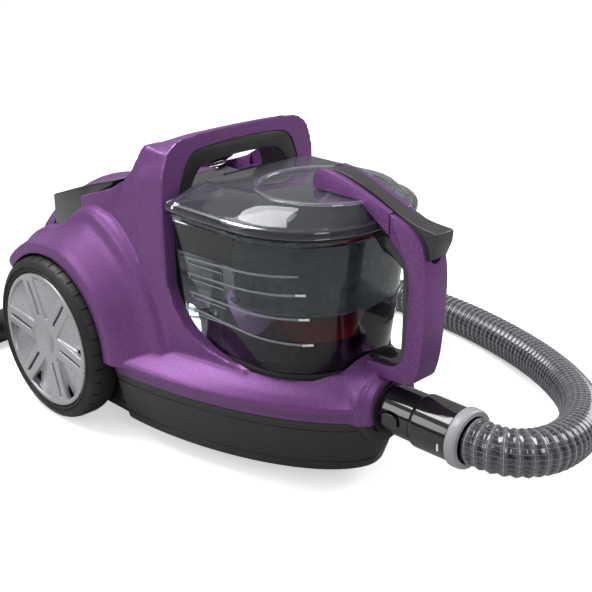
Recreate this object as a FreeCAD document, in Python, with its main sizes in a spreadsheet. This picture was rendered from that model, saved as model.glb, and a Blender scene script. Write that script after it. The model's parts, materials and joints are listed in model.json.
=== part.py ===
import FreeCAD
import Part
import math
import os
import Sketcher

# A bagless canister vacuum cleaner, in millimetres.
# +X runs from the rear wheels to the hose inlet, +Y to the machine's left, +Z up.
# The origin lies on the floor under the middle of the machine.

V = FreeCAD.Vector
X_AXIS, Y_AXIS, Z_AXIS = V(1, 0, 0), V(0, 1, 0), V(0, 0, 1)

doc = FreeCAD.newDocument("canister_cleaner")
sheet = doc.addObject("Spreadsheet::Sheet", "sizes")
nodes = []


class Size(float):
    """A length that remembers the spreadsheet formula it comes from."""

    def __new__(cls, value, formula):
        size = float.__new__(cls, value)
        size.formula = formula
        return size

    def joined(self, other, value, sign, swap=False):
        first, second = (text_of(other), self.formula) if swap else (self.formula, text_of(other))
        return Size(value, f"({first} {sign} {second})")

    def __add__(self, other):
        return self.joined(other, float(self) + float(other), "+")

    def __radd__(self, other):
        return self.joined(other, float(other) + float(self), "+", swap=True)

    def __sub__(self, other):
        return self.joined(other, float(self) - float(other), "-")

    def __rsub__(self, other):
        return self.joined(other, float(other) - float(self), "-", swap=True)

    def __mul__(self, other):
        return self.joined(other, float(self) * float(other), "*")

    def __rmul__(self, other):
        return self.joined(other, float(other) * float(self), "*", swap=True)

    def __truediv__(self, other):
        return self.joined(other, float(self) / float(other), "/")

    def __neg__(self):
        return Size(-float(self), f"(-1 * {self.formula})")


def text_of(value):
    return value.formula if isinstance(value, Size) else repr(float(value))


DIMENSIONS = {
    # wheels
    "wheel_radius": 92, "wheel_width": 38, "overall_width": 295.4, "tyre_depth": 16, "tyre_crown": 7,
    "wheel_gap": 4, "axle_radius": 6, "axle_fit": 0.05, "axle_length": 58, "hub_radius": 19,
    "hub_wall": 3, "clip_radius": 10, "clip_thickness": 1.6, "spoke_count": 6, "cap_thickness": 5,
    # lower housing and shells
    "floor_gap": 20, "seam_height": 82, "wall": 2.6, "nose_reach": 376, "nose_undercut": 24,
    "front_half_width": 126, "front_undercut": 15, "front_start": 98, "rear_face": 100,
    "seam_gap": 0.3, "shoulder_height": 97, "shoulder_flare": 5, "deck_height": 124,
    "dome_half_width": 104, "dome_rear_height": 178, "dome_mid_height": 246, "dome_front_height": 268,
    "lip_width": 10.5, "lip_gap": 2.5, "lip_inset": 10.7, "fender_reach": 42,
    # carry handle
    "arch_front": 167, "arch_depth": 44, "arch_height": 335, "arch_top_half": 92, "arch_bar": 16,
    "arch_leg": 20, "liner_bar": 14, "grip_half": 64, "arch_foot": 216,
    # dust bin
    "bin_gap": 2, "bin_half_width": 99, "bin_taper": 17, "bin_nose": 355, "bin_nose_taper": 17,
    "bin_floor": 122, "bin_rim": 264, "bin_wall": 2.2, "bin_floor_wall": 3, "bin_straight": 84,
    "gasket_height": 4, "gasket_wall": 1.2,
    "lid_flange": 8, "lid_rise": 17, "lid_overhang": 6, "lid_inset": 22, "lid_wall": 2.4,
    "lid_relief": 1.5, "lid_lean": 6,
    "seal_size": 2.4, "fit_gap": 0.3, "hinge_x": 176, "hinge_height": 284, "hinge_radius": 5,
    "hinge_length": 58, "hinge_pin": 1.8,
    # cyclone
    "cyclone_x": 268, "shroud_radius": 46, "shroud_height": 74, "cone_tip": 14,
    "cone_height": 58, "screen_wall": 1.2, "finder_radius": 20, "port_width": 44, "port_height": 26,
    # bin handle and lever
    "handle_width": 30, "handle_front": 418, "handle_bar": 23, "handle_top": 286, "handle_foot": 128,
    "handle_split": 377, "split_lean": 1.4, "lever_width": 19, "lever_thickness": 9, "lever_tip": 428,
    "lever_rear": 290, "lever_height": 312, "lever_pin": 2, "lever_drop": 34,
    # hose inlet and connector
    "inlet_height": 92, "inlet_bore": 24.4, "inlet_wall": 3, "inlet_front": 372, "inlet_depth": 46,
    "collar_radius": 41, "duct_bore": 17, "duct_turn": 45, "tube_radius": 24,
    "tube_wall": 2.2, "tube_step": 2, "tube_step_at": 414, "tube_end": 456, "ring_length": 12,
    "ring_lip": 2.5, "latch_length": 20, "latch_width": 15, "latch_depth": 3,
    # hose
    "hose_diameter": 44, "cuff_length": 46, "cuff_wall": 3, "handle_tube": 17, "grip_length": 120,
    # caster
    "caster_x": 292, "caster_radius": 16, "caster_width": 17, "caster_trail": 10, "stem_radius": 5,
    "stem_length": 16, "caster_pin": 2.5, "fork_wall": 3, "recess_radius": 34, "recess_roof": 40,
    # motor, filters, reel, electrics
    "motor_radius": 45, "motor_length": 78, "motor_x": 14, "motor_y": -42, "motor_z": 152,
    "motor_wall": 2, "shaft_radius": 4, "fan_radius": 40, "fan_width": 12, "mount_ring": 7,
    "bulkhead": 3, "filter_size": 96, "filter_depth": 16, "exhaust_width": 96, "exhaust_height": 50,
    "exhaust_z": 132, "exhaust_depth": 14, "reel_radius": 56, "reel_core": 26, "reel_width": 36,
    "reel_y": 50, "reel_z": 112, "reel_x": 14, "flange": 2, "spindle_radius": 5,
    "board_length": 56, "board_width": 54, "board_thickness": 1.6, "gland_radius": 9,
    "gland_bore": 4.5, "gland_z": 60, "gland_y": 62,
    # pedals
    "pedal_y": 70, "pedal_width": 28, "pedal_rear": 78, "pedal_front": 50, "pedal_depth": 24,
    "pedal_rise": 40, "pedal_top": 229, "pedal_pin": 2, "spring_length": 26, "spring_radius": 6,
    "wire": 1.2, "screw_head": 4, "screw_shank": 2, "screw_length": 16,
}
for row, (alias, value) in enumerate(DIMENSIONS.items(), start=1):
    sheet.set(f"A{row}", alias.replace("_", " "))
    sheet.set(f"B{row}", str(value))
    sheet.setAlias(f"B{row}", alias)
doc.recompute()


class Dimensions:
    """The spreadsheet's cells as Size values."""

    def __init__(self, names):
        for name in names:
            setattr(self, name, Size(sheet.get(name), f"sizes.{name}"))


d = Dimensions(DIMENSIONS)
lip_inner = d.wheel_radius + d.lip_gap
lip_outer = lip_inner + d.lip_width
front_reach = d.tube_end + d.ring_length
axle_x = (lip_outer - front_reach) / 2
wheel_face = d.overall_width / 2
wheel_inner = wheel_face - d.wheel_width
rear_half_width = wheel_inner - d.wheel_gap
arch_front = axle_x + d.arch_front
arch_rear = arch_front - d.arch_depth
bin_back = arch_front + d.bin_gap
bin_nose = axle_x + d.bin_nose
rear_x = axle_x - d.rear_face
tube_front = axle_x + d.tube_end
cyclone_x = axle_x + d.cyclone_x


# ---------------------------------------------------------------- helpers

def bind(obj, **sizes):
    """Set properties and tie each one to its spreadsheet formula."""
    for name, value in sizes.items():
        setattr(obj, name, float(value))
        if isinstance(value, Size):
            obj.setExpression(name, value.formula)


def place(obj, at=(0, 0, 0), turn=None):
    """Put an object at a point, with the point's coordinates bound."""
    obj.Placement = FreeCAD.Placement(V(*at), turn or FreeCAD.Rotation())
    for letter, value in zip("xyz", at):
        if isinstance(value, Size):
            obj.setExpression(f"Placement.Base.{letter}", value.formula)
    return obj


ALONG = {
    "X": FreeCAD.Rotation(Y_AXIS, 90), "-X": FreeCAD.Rotation(Y_AXIS, -90),
    "Y": FreeCAD.Rotation(X_AXIS, -90), "-Y": FreeCAD.Rotation(X_AXIS, 90),
    "Z": FreeCAD.Rotation(), "-Z": FreeCAD.Rotation(X_AXIS, 180),
}


def cylinder(radius, length, at, along="Z"):
    obj = doc.addObject("Part::Cylinder", "cylinder")
    bind(obj, Radius=radius, Height=length)
    return place(obj, at, ALONG[along])


def box(low, high):
    """A box between two corners given as sizes."""
    obj = doc.addObject("Part::Box", "box")
    bind(obj, Length=high[0] - low[0], Width=high[1] - low[1], Height=high[2] - low[2])
    return place(obj, low)


def join(*pieces):
    obj = doc.addObject("Part::MultiFuse", "join")
    obj.Shapes = list(pieces)
    return obj


def cut(base, *tools):
    obj = doc.addObject("Part::Cut", "cut")
    obj.Base = base
    obj.Tool = tools[0] if len(tools) == 1 else join(*tools)
    return obj


def group(*pieces):
    obj = doc.addObject("Part::Compound", "group")
    obj.Links = list(pieces)
    return obj


def solid(shape, at=None):
    """A shape made with Part's own functions, for forms that no primitive gives."""
    obj = doc.addObject("Part::Feature", "solid")
    obj.Shape = shape
    return obj if at is None else place(obj, at)


def node(label, obj):
    """Name a finished sub-part; the label names its file."""
    obj.Label = label
    nodes.append(obj)
    return obj


def origin_plane(body, role):
    return next(f for f in body.Origin.OriginFeatures if f.Role == role)


def sketch_on(body, role, points):
    """A closed outline on one of the body's own planes, every corner held by its sizes."""
    sketch = body.newObject("Sketcher::SketchObject", "outline")
    sketch.AttachmentSupport = (origin_plane(body, role), [""])
    sketch.MapMode = "FlatFace"
    corners = [V(float(x), float(y), 0) for x, y in points]
    count = len(points)
    for i in range(count):
        sketch.addGeometry(Part.LineSegment(corners[i], corners[(i + 1) % count]), False)
    for i in range(count):
        sketch.addConstraint(Sketcher.Constraint("Coincident", i, 2, (i + 1) % count, 1))
    for i, (x, y) in enumerate(points):
        hold(sketch, "DistanceX", -2, i, x)
        hold(sketch, "DistanceY", -1, i, y)
    return sketch


def hold(sketch, kind, axis, line, value):
    """Hold a line's start at a signed distance from the sketch's origin."""
    if abs(float(value)) < 1e-9:
        sketch.addConstraint(Sketcher.Constraint("PointOnObject", line, 1, axis))
        return
    ends = (-1, 1, line, 1) if value > 0 else (line, 1, -1, 1)
    index = sketch.addConstraint(Sketcher.Constraint(kind, *ends, abs(float(value))))
    if isinstance(value, Size):
        formula = value.formula if value > 0 else f"-1 * {value.formula}"
        name = f"{kind}{line}"
        sketch.renameConstraint(index, name)
        sketch.setExpression(f"Constraints.{name}", formula)


def turned(points, at=(0, 0, 0), along="Z"):
    """A body of revolution: points are (radius, distance along the axis)."""
    body = doc.addObject("PartDesign::Body", "body")
    sketch = sketch_on(body, "XZ_Plane", points)
    spin = body.newObject("PartDesign::Revolution", "turned")
    spin.Profile = sketch
    spin.ReferenceAxis = (sketch, ["V_Axis"])
    spin.Angle = 360
    body.Tip = spin
    return place(body, at, ALONG[along])


def ellipse_like(centre, reach, half, power, count=12):
    """Points of a rounded nose, from its right side round the front to its left side."""
    points = []
    for i in range(count + 1):
        angle = math.pi * (i / count - 0.5)
        c, s = math.cos(angle), math.sin(angle)
        x = centre + reach * abs(c) ** (2 / power)
        points.append((x, math.copysign(half * abs(s) ** (2 / power), s)))
    return points


def nose_outline(back, centre, nose, half, power, z):
    """A plan outline: flat back, straight sides and a rounded nose."""
    points = [V(x, y, z) for x, y in ellipse_like(centre, nose - centre, half, power)]
    front = Part.BSplineCurve()
    front.interpolate(Points=points, InitialTangent=V(1, 0, 0), FinalTangent=V(-1, 0, 0))
    right, left = V(back, -half, z), V(back, half, z)
    edges = [Part.LineSegment(left, right).toShape(), Part.LineSegment(right, points[0]).toShape(),
             front.toShape(), Part.LineSegment(points[-1], left).toShape()]
    return Part.Wire(edges)


def loft(wires, ruled=True):
    return Part.makeLoft(wires, True, ruled)


def polygon(points):
    return Part.makePolygon(points + [points[0]])


def prism(points, direction):
    """A solid between an outline and its copy moved along a direction."""
    return Part.Face(polygon(points)).extrude(direction)


# ---------------------------------------------------------------- wheels

def wheel(side, name):
    """One rear wheel: hub core, spoked cap and tyre, all turned about the axle."""
    along = "Y" if side > 0 else "-Y"
    centre = (axle_x, side * wheel_inner, d.wheel_radius)
    rim = d.wheel_radius - d.tyre_depth
    shoulder = d.wheel_radius - d.tyre_crown
    tyre = turned([(rim, d.hub_wall), (shoulder, 0), (d.wheel_radius, d.tyre_crown),
                   (d.wheel_radius, d.wheel_width - d.tyre_crown),
                   (shoulder, d.wheel_width), (rim, d.wheel_width)], centre, along)
    node(f"{name}_tyre", tyre)
    drum = rim
    web = d.wheel_width - d.cap_thickness * 2
    bore = d.axle_radius + d.axle_fit
    core = turned([(bore, 0), (d.hub_radius, 0), (d.hub_radius, web - d.hub_wall),
                   (drum - d.hub_wall, web - d.hub_wall), (drum - d.hub_wall, d.hub_wall),
                   (drum, d.hub_wall), (drum, web), (bore, web)], centre, along)
    node(f"{name}_wheel_core", core)
    node(f"{name}_hubcap", hubcap(centre, along, web))


WINDOW_ANGLE = 0.24  # half the angle that one hubcap window spans, in radians


def hubcap(centre, along, start):
    """The spoked cap: a dished disc with windows between its paired spokes."""
    rim = d.wheel_radius - d.tyre_depth
    face = d.wheel_width
    back = start + d.clip_thickness * 2 + d.fit_gap
    body = turned([(0, back), (0, face - d.hub_wall), (d.hub_radius, face - d.hub_wall),
                   (rim - d.cap_thickness, face), (rim, face), (rim, start),
                   (rim - d.cap_thickness, start), (rim - d.cap_thickness, back)], centre, along)
    inner, outer = d.hub_radius * 1.45, rim - d.cap_thickness * 1.6
    half = WINDOW_ANGLE
    window = [(inner * math.cos(-half / 2), inner * math.sin(-half / 2)),
              (outer * math.cos(-half), outer * math.sin(-half)),
              (outer * math.cos(half), outer * math.sin(half)),
              (inner * math.cos(half / 2), inner * math.sin(half / 2))]
    doc.recompute()
    pocket = body.newObject("PartDesign::Pocket", "window")
    pocket.Profile = sketch_on(body, "XY_Plane", window)
    pocket.Type = "ThroughAll"
    pocket.Reversed = True
    body.Tip = pocket
    pattern = body.newObject("PartDesign::PolarPattern", "windows")
    pattern.Originals = [pocket]
    pattern.Axis = (pocket.Profile[0], ["N_Axis"])
    pattern.Angle = 360
    pattern.Occurrences = int(d.spoke_count)
    pattern.setExpression("Occurrences", d.spoke_count.formula)
    body.Tip = pattern
    return body


def axles():
    """Two steel stub axles and the clips that keep the wheels on them."""
    stubs, clips = [], []
    web = d.wheel_width - d.cap_thickness * 2
    for side in (1, -1):
        along = "Y" if side > 0 else "-Y"
        start = wheel_inner + web + d.fit_gap + d.clip_thickness - d.axle_length
        stubs.append(cylinder(d.axle_radius, d.axle_length, (axle_x, side * start, d.wheel_radius), along))
        clip_at = (axle_x, side * (wheel_inner + web + d.fit_gap), d.wheel_radius)
        disc = cylinder(d.clip_radius, d.clip_thickness, clip_at, along)
        hole = cylinder(d.axle_radius, d.clip_thickness, clip_at, along)
        clips.append(cut(disc, hole))
    node("wheel_axles", group(*stubs))
    node("axle_clips", group(*clips))


# ---------------------------------------------------------------- housings

NOSE_POWER = 1.8  # superellipse powers of the plan outlines
SHOULDER_POWER = 1.9
BIN_POWER = 2.3
NOSE_START = 2  # straight run before the tub's nose starts to round


def lower_form(inset):
    """The charcoal tub's outer form, or its inner form when inset by a wall."""
    x0 = rear_x + inset
    half = rear_half_width - inset
    low, high = d.floor_gap + inset, d.seam_height + (1 if inset else 0)
    rear = Part.makeBox(axle_x + d.front_start + 10 - x0, 2 * half, high - low, V(x0, -half, low))
    start = axle_x + d.front_start + inset
    centre = start + NOSE_START
    bottom = nose_outline(start, centre, axle_x + d.nose_reach - d.nose_undercut - inset,
                          d.front_half_width - d.front_undercut - inset, NOSE_POWER, low)
    top = nose_outline(start, centre, axle_x + d.nose_reach - inset, d.front_half_width - inset,
                       NOSE_POWER, high)
    return rear.fuse(loft([bottom, top]))


def lower_housing():
    """The tub: axle bosses, caster recess, inlet cradle, gland hole and screw bosses."""
    shell = lower_form(0).cut(lower_form(d.wall))
    centre = V(axle_x + d.caster_x, 0, d.floor_gap - 1)
    recess_height = d.recess_roof - d.floor_gap + 1
    recess = Part.makeCylinder(d.recess_radius, recess_height, centre)
    cover = Part.makeCylinder(d.recess_radius + d.wall, recess_height + d.wall, centre)
    cover = cover.cut(Part.makeBox(900, 400, 1, V(-450, -200, d.floor_gap - 1)))
    boss = Part.makeCylinder(d.stem_radius * 2.2, d.stem_length, centre + V(0, 0, recess_height))
    stem = Part.makeCylinder(d.stem_radius + d.axle_fit, d.stem_length + 2,
                             centre + V(0, 0, recess_height - 1))
    shell = shell.fuse([cover, boss]).cut([recess, stem])
    clip_end = wheel_inner + d.wheel_width - 2 * d.cap_thickness + d.fit_gap + d.clip_thickness
    boss_inner = clip_end - d.axle_length
    for side in (1, -1):
        length = rear_half_width - boss_inner + d.wall
        start = V(axle_x, side * (boss_inner - d.wall), d.wheel_radius)
        post = prism([V(axle_x - d.axle_radius * 2, start.y, d.floor_gap + 1),
                      V(axle_x + d.axle_radius * 2, start.y, d.floor_gap + 1),
                      V(axle_x + d.axle_radius * 2, start.y, d.wheel_radius),
                      V(axle_x - d.axle_radius * 2, start.y, d.wheel_radius)], V(0, side * length, 0))
        sleeve = Part.makeCylinder(d.axle_radius * 2, length, start, V(0, side, 0))
        hole = Part.makeCylinder(d.axle_radius + d.axle_fit, length,
                                 V(axle_x, side * boss_inner, d.wheel_radius), V(0, side, 0))
        shell = shell.fuse([post, sleeve]).cut(hole)
    shell = shell.cut(inlet_clearance())
    gland = Part.makeCylinder(d.gland_radius, 20, V(rear_x - 5, d.gland_y, d.gland_z), X_AXIS)
    return shell.cut(gland).removeSplitter()


def inlet_clearance():
    """The round space that the inlet sleeve and the connector need in both housings."""
    radius = d.inlet_bore + d.inlet_wall + d.fit_gap
    length = d.inlet_depth + 60
    start = V(axle_x + d.inlet_front - d.inlet_depth - d.fit_gap, 0, d.inlet_height)
    return Part.makeCylinder(radius, length, start, X_AXIS)


def dome_section(x, half, low, height, power):
    """One cross-section of the rear body: flat below, rounded above."""
    side_height = low + (height - low) * 0.45
    points = []
    for i in range(9):
        angle = math.pi * i / 8
        c, s = math.cos(angle), math.sin(angle)
        y = math.copysign(half * abs(c) ** (2 / power), c)
        points.append(V(x, y, side_height + (height - side_height) * s ** (2 / power)))
    crown = Part.BSplineCurve()
    crown.interpolate(Points=points, InitialTangent=V(0, 0, 1), FinalTangent=V(0, 0, -1))
    left, right = V(x, half, low), V(x, -half, low)
    edges = [Part.LineSegment(right, left).toShape(), Part.LineSegment(left, points[0]).toShape(),
             crown.toShape(), Part.LineSegment(points[-1], right).toShape()]
    return Part.Wire(edges)


def dome_form(inset):
    low = d.seam_height + d.seam_gap - (1 if inset else 0)
    half = d.dome_half_width - inset
    stations = [(rear_x + inset, half - 12, d.dome_rear_height),
                (axle_x - 62, half, d.dome_mid_height - 6),
                (axle_x, half, d.dome_mid_height + 10),
                (arch_rear - 30, half, d.dome_front_height - 2),
                (arch_front - inset, half, d.dome_front_height)]
    return loft([dome_section(x, h, low, z - inset, 3) for x, h, z in stations], ruled=False)


def deck_form(inset):
    low = d.seam_height + d.seam_gap - (1 if inset else 0)
    back = axle_x + d.front_start + inset
    centre = back + NOSE_START
    nose, half = axle_x + d.nose_reach - inset, d.front_half_width - inset
    top_nose = bin_nose - d.bin_nose_taper + 8 - inset
    top_half = d.bin_half_width - d.bin_taper + 10 - inset
    rings = [nose_outline(back, centre, nose, half, NOSE_POWER, low),
             nose_outline(back, centre, nose + d.shoulder_flare, half + d.shoulder_flare,
                          SHOULDER_POWER, d.shoulder_height),
             nose_outline(back, centre + 60, top_nose, top_half, BIN_POWER, d.deck_height - inset)]
    return loft([rings[0], rings[1]]).fuse(loft([rings[1], rings[2]]))


def fender(side):
    """The flared arch over one wheel, turned about the axle and cut off at the seam."""
    face = wheel_face - d.lip_inset
    root = d.dome_half_width - 6
    rise = face - root
    outer = [(lip_inner, root), (lip_inner, face), (lip_outer, face),
             (lip_outer + d.fender_reach * 0.2, face - rise * 0.32),
             (lip_outer + d.fender_reach * 0.55, face - rise * 0.7),
             (lip_outer + d.fender_reach, root)]
    points = [V(axle_x + r, side * y, d.wheel_radius) for r, y in outer]
    ring = Part.Face(polygon(points)).revolve(V(axle_x, 0, d.wheel_radius), Y_AXIS, 360)
    top = Part.makeBox(lip_outer + d.arch_front, 400, 400,
                       V(axle_x - lip_outer, -200, d.seam_height + d.seam_gap))
    return ring.common(top)


def bin_form(grow, low, high):
    """The dust bin's tapered outline between two heights, grown by a clearance."""
    def ring(z):
        share = (z - d.bin_floor) / (d.bin_rim - d.bin_floor)
        half = d.bin_half_width - d.bin_taper * (1 - share) + grow
        nose = bin_nose - d.bin_nose_taper * (1 - share) + grow
        return nose_outline(bin_back - grow, bin_back + d.bin_straight, nose, half, BIN_POWER, z)
    return loft([ring(low), ring(high)])


def main_cover():
    """The coloured shell: rear dome, both fenders, front deck, bin seat and hose collar."""
    outer = dome_form(0).fuse([deck_form(0), fender(1), fender(-1), collar()])
    handle = carry_handle()
    room_start = d.dome_half_width - 6
    wheel_room = [Part.makeCylinder(lip_inner, 60, V(axle_x, side * room_start, d.wheel_radius),
                                    V(0, side, 0)) for side in (1, -1)]
    inner = dome_form(d.wall).fuse(deck_form(d.wall))
    shell = outer.cut([inner, inlet_clearance()] + wheel_room).fuse(handle)
    seat = bin_form(d.gasket_wall + d.fit_gap, d.bin_floor - 2, d.bin_rim + 20)
    room = Part.makeBox(300, 300, 200, V(arch_front, -150, d.deck_height))
    shell = shell.cut([seat, room, bulkhead_opening(), rear_opening(), top_opening(), gland_slot()])
    shell = shell.cut([pedal_slot(side) for side in (1, -1)] + [pin_hole(side) for side in (1, -1)])
    return biggest(shell.removeSplitter())


def biggest(shape):
    return max(shape.Solids, key=lambda s: s.Volume)


def collar():
    """The raised collar around the hose inlet, cut off at the seam."""
    start = axle_x + d.inlet_front - 34
    half = d.collar_radius
    corners = [(-half - 4, d.seam_height + d.seam_gap), (half + 4, d.seam_height + d.seam_gap),
               (half, d.inlet_height + half * 0.5), (half * 0.6, d.inlet_height + half),
               (-half * 0.6, d.inlet_height + half), (-half, d.inlet_height + half * 0.5)]
    face = Part.Face(polygon([V(start, y, z) for y, z in corners]))
    return face.extrude(V(34 - d.fit_gap, 0, 0))


def bulkhead_opening():
    """The window in the dome's front wall that the bulkhead closes."""
    half = d.dome_half_width - 14
    return Part.makeBox(d.wall + 2, 2 * half, d.dome_front_height - d.deck_height - 22,
                        V(arch_front - d.wall - 1, -half, d.deck_height + 6))


def rear_opening():
    return Part.makeBox(30, d.exhaust_width, d.exhaust_height,
                        V(rear_x - 10, -d.exhaust_width / 2, d.exhaust_z - d.exhaust_height / 2))


def top_opening():
    """The window under the carry handle that the filter cover closes."""
    return Part.makeBox(2 * d.arch_depth - d.wall - 1, 2 * (d.grip_half - 8), 60,
                        V(arch_rear - d.arch_depth, -d.grip_half + 8, d.dome_front_height - 16))


def gland_slot():
    return Part.makeCylinder(d.gland_radius, 20, V(rear_x - 5, d.gland_y, d.gland_z), X_AXIS)


def pedal_line(offset):
    """Side outline of a pedal's slot or body, grown by an offset, as x and z pairs."""
    rear, front = axle_x - d.pedal_rear - offset, axle_x + d.pedal_front + offset
    top_rear, top_front = d.pedal_top + offset, d.pedal_top + d.pedal_rise + offset
    return [(rear, top_rear - d.pedal_depth - 2 * offset), (rear, top_rear), (front, top_front),
            (front, top_front - 10 - 2 * offset), (rear + 34 + offset, top_rear - 10 - offset),
            (rear + 22 + offset, top_rear - d.pedal_depth - 2 * offset)]


def pedal_slot(side):
    """The slot in the dome through which one pedal moves."""
    gap = 2
    rear, front = axle_x - d.pedal_rear - gap, axle_x + d.pedal_front + gap
    y0 = side * d.pedal_y - d.pedal_width / 2 - gap
    return Part.makeBox(front - rear, d.pedal_width + 2 * gap, 120,
                        V(rear, y0, d.pedal_top - d.pedal_depth - 16))


def carry_handle():
    """The arched handle over the bin's rear, its legs standing on the dome."""
    half, top = d.dome_half_width, d.arch_height
    outer = arch_outline(half, d.arch_top_half, d.arch_foot, top, 12)
    inner = arch_outline(half - d.arch_leg, d.arch_top_half - d.arch_leg, d.arch_foot - 1,
                         top - d.arch_bar, 8)
    solid_arch = Part.Face(outer).extrude(V(d.arch_depth, 0, 0))
    return solid_arch.cut([Part.Face(inner).extrude(V(d.arch_depth, 0, 0)), dome_form(d.wall)])


def arch_outline(half, top_half, foot, top, corner):
    """An arch in the plane of its rear face: sloping legs, cut corners and a slightly bowed bar."""
    x = arch_rear
    points = [V(x, -half, foot), V(x, -top_half, top - corner * 1.8),
              V(x, -top_half + corner, top - corner * 0.5)]
    mirrored = [V(x, -p.y, p.z) for p in reversed(points)]
    bow = Part.Arc(points[-1], V(x, 0, top), mirrored[0]).toShape()
    lines = [Part.LineSegment(a, b).toShape() for a, b in
             ((points[0], points[1]), (points[1], points[2]), (mirrored[0], mirrored[1]),
              (mirrored[1], mirrored[2]), (mirrored[2], points[0]))]
    return Part.Wire([lines[0], lines[1], bow, lines[2], lines[3], lines[4]])


def handle_liner():
    """The dark inner band of the carry handle."""
    leg = d.arch_leg + d.seam_gap
    bar = d.arch_bar + d.seam_gap
    outer = arch_outline(d.dome_half_width - leg, d.arch_top_half - leg, d.arch_foot, d.arch_height - bar, 8)
    inner = arch_outline(d.grip_half + 2, d.grip_half - 10, d.arch_foot - 1,
                         d.arch_height - bar - d.liner_bar, 6)
    band = Part.Face(outer).extrude(V(d.arch_depth - 1, 0, 0))
    band = band.cut(Part.Face(inner).extrude(V(d.arch_depth, 0, 0)))
    below = Part.makeBox(d.arch_depth + 2, 300, 200,
                         V(arch_rear - 1, -150, d.dome_front_height + d.seam_gap - 200))
    return band.cut(below)


def filter_cover():
    """The glossy cover between the handle's legs, over the filter chamber."""
    half = d.grip_half - 8 - d.seam_gap
    low = d.dome_front_height - 14
    rear, front = arch_rear - d.arch_depth + d.seam_gap, arch_front - d.wall - 1 - d.seam_gap
    outline = [V(rear, -half, low), V(rear, half, low), V(front, half, low), V(front, -half, low)]
    plate = prism(outline, V(0, 0, 10))
    return plate.makeChamfer(3, [e for e in plate.Edges if abs(e.CenterOfMass.z - low - 10) < 0.1])


def bulkhead():
    """The dark wall behind the bin, with its round outlet port and the filter's tray."""
    half = d.dome_half_width - 14 - d.seam_gap
    low, high = d.deck_height + 6 + d.seam_gap, d.dome_front_height - 16 - d.seam_gap
    plate = Part.makeBox(d.bulkhead, 2 * half, high - low, V(arch_front - d.bulkhead - 0.3, -half, low))
    port = Part.makeBox(20, d.port_width, d.port_height, V(arch_front - 10, -d.port_width / 2, port_low()))
    side = d.filter_size + 2 * d.wall + 2 * d.seam_gap
    depth = d.filter_depth + d.seam_gap
    tray_x = arch_front - d.bulkhead - depth
    tray = Part.makeBox(depth, side, side, V(tray_x, -side / 2, filter_low() - d.wall - d.seam_gap))
    room = Part.makeBox(depth, side - 2 * d.wall, side - 2 * d.wall,
                        V(tray_x, -side / 2 + d.wall, filter_low() - d.seam_gap))
    return plate.fuse(tray.cut(room)).cut(port).removeSplitter()


def port_low():
    return d.dome_front_height - 20 - d.port_height


def filter_low():
    return d.dome_front_height - 20 - d.filter_size


# ---------------------------------------------------------------- inside the body

def motor():
    """Motor can with its two rubber mounts, and the rotor of fan and shaft inside it."""
    x0 = axle_x + d.motor_x
    at = (x0, d.motor_y, d.motor_z)
    inner = d.motor_radius - d.motor_wall
    can = turned([(d.shaft_radius + d.axle_fit, 0), (d.motor_radius, 0), (d.motor_radius, d.motor_length),
                  (d.finder_radius, d.motor_length), (d.finder_radius, d.motor_length - d.motor_wall),
                  (inner, d.motor_length - d.motor_wall), (inner, d.motor_wall),
                  (d.shaft_radius + d.axle_fit, d.motor_wall)], at, "X")
    node("motor_can", can)
    fan_start = d.motor_length - d.motor_wall - d.fan_width - 2
    rotor = turned([(0, -3), (d.shaft_radius, -3), (d.shaft_radius, 14), (d.fan_radius * 0.6, 14),
                    (d.fan_radius * 0.6, fan_start - 8), (d.shaft_radius, fan_start - 8),
                    (d.shaft_radius, fan_start), (d.fan_radius, fan_start),
                    (d.fan_radius, fan_start + 2), (d.finder_radius, fan_start + d.fan_width),
                    (0, fan_start + d.fan_width)], at, "X")
    node("motor_rotor", rotor)
    rings = []
    for start in (6, d.motor_length - 18):
        rings.append(turned([(d.motor_radius, start), (d.motor_radius + d.mount_ring, start),
                             (d.motor_radius + d.mount_ring, start + 10),
                             (d.motor_radius, start + 10)], at, "X"))
    node("motor_mounts", group(*rings))


def motor_cradle():
    """Two uprights of the tub that carry the rubber motor mounts."""
    pieces = []
    radius = d.motor_radius + d.mount_ring
    for start in (6, d.motor_length - 18):
        x = axle_x + d.motor_x + start + 1
        upright = Part.makeBox(8, 2 * radius - 20, d.motor_z - d.floor_gap - d.wall - 20,
                               V(x, d.motor_y - radius + 10, d.floor_gap + d.wall / 2))
        space = Part.makeCylinder(radius + d.axle_fit, 20, V(x - 5, d.motor_y, d.motor_z), X_AXIS)
        pieces.append(upright.cut(space))
    return pieces


def filters():
    """The foam pre-motor filter behind the bulkhead and the pleated exhaust filter at the rear."""
    x0 = arch_front - d.bulkhead - d.filter_depth
    half = d.filter_size / 2
    node("pre_motor_filter", box((x0 - 0.3, -half, filter_low()),
                                 (x0 + d.filter_depth - 0.6, half, filter_low() + d.filter_size)))
    half_w, half_h = d.exhaust_width / 2 - d.fit_gap, d.exhaust_height / 2 - d.fit_gap
    start = rear_x + d.wall + d.seam_gap
    node("exhaust_filter", box((start, -half_w + 2, d.exhaust_z - half_h + 2),
                               (start + d.exhaust_depth, half_w - 2, d.exhaust_z + half_h - 2)))
    node("exhaust_grille", solid(grille()))


def grille():
    """The slatted rear cover over the exhaust filter."""
    half_w, half_h = d.exhaust_width / 2 - d.fit_gap, d.exhaust_height / 2 - d.fit_gap
    plate = Part.makeBox(d.wall + 1, 2 * half_w, 2 * half_h, V(rear_x - 1, -half_w, d.exhaust_z - half_h))
    slots = []
    pitch, slot = 8, 4
    for i in range(int((2 * half_h - 2 * slot) / pitch)):
        z = d.exhaust_z - half_h + slot + i * pitch
        slots.append(Part.makeBox(20, 2 * half_w - 12, slot, V(rear_x - 8, -half_w + 6, z)))
    return plate.cut(slots)


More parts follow.
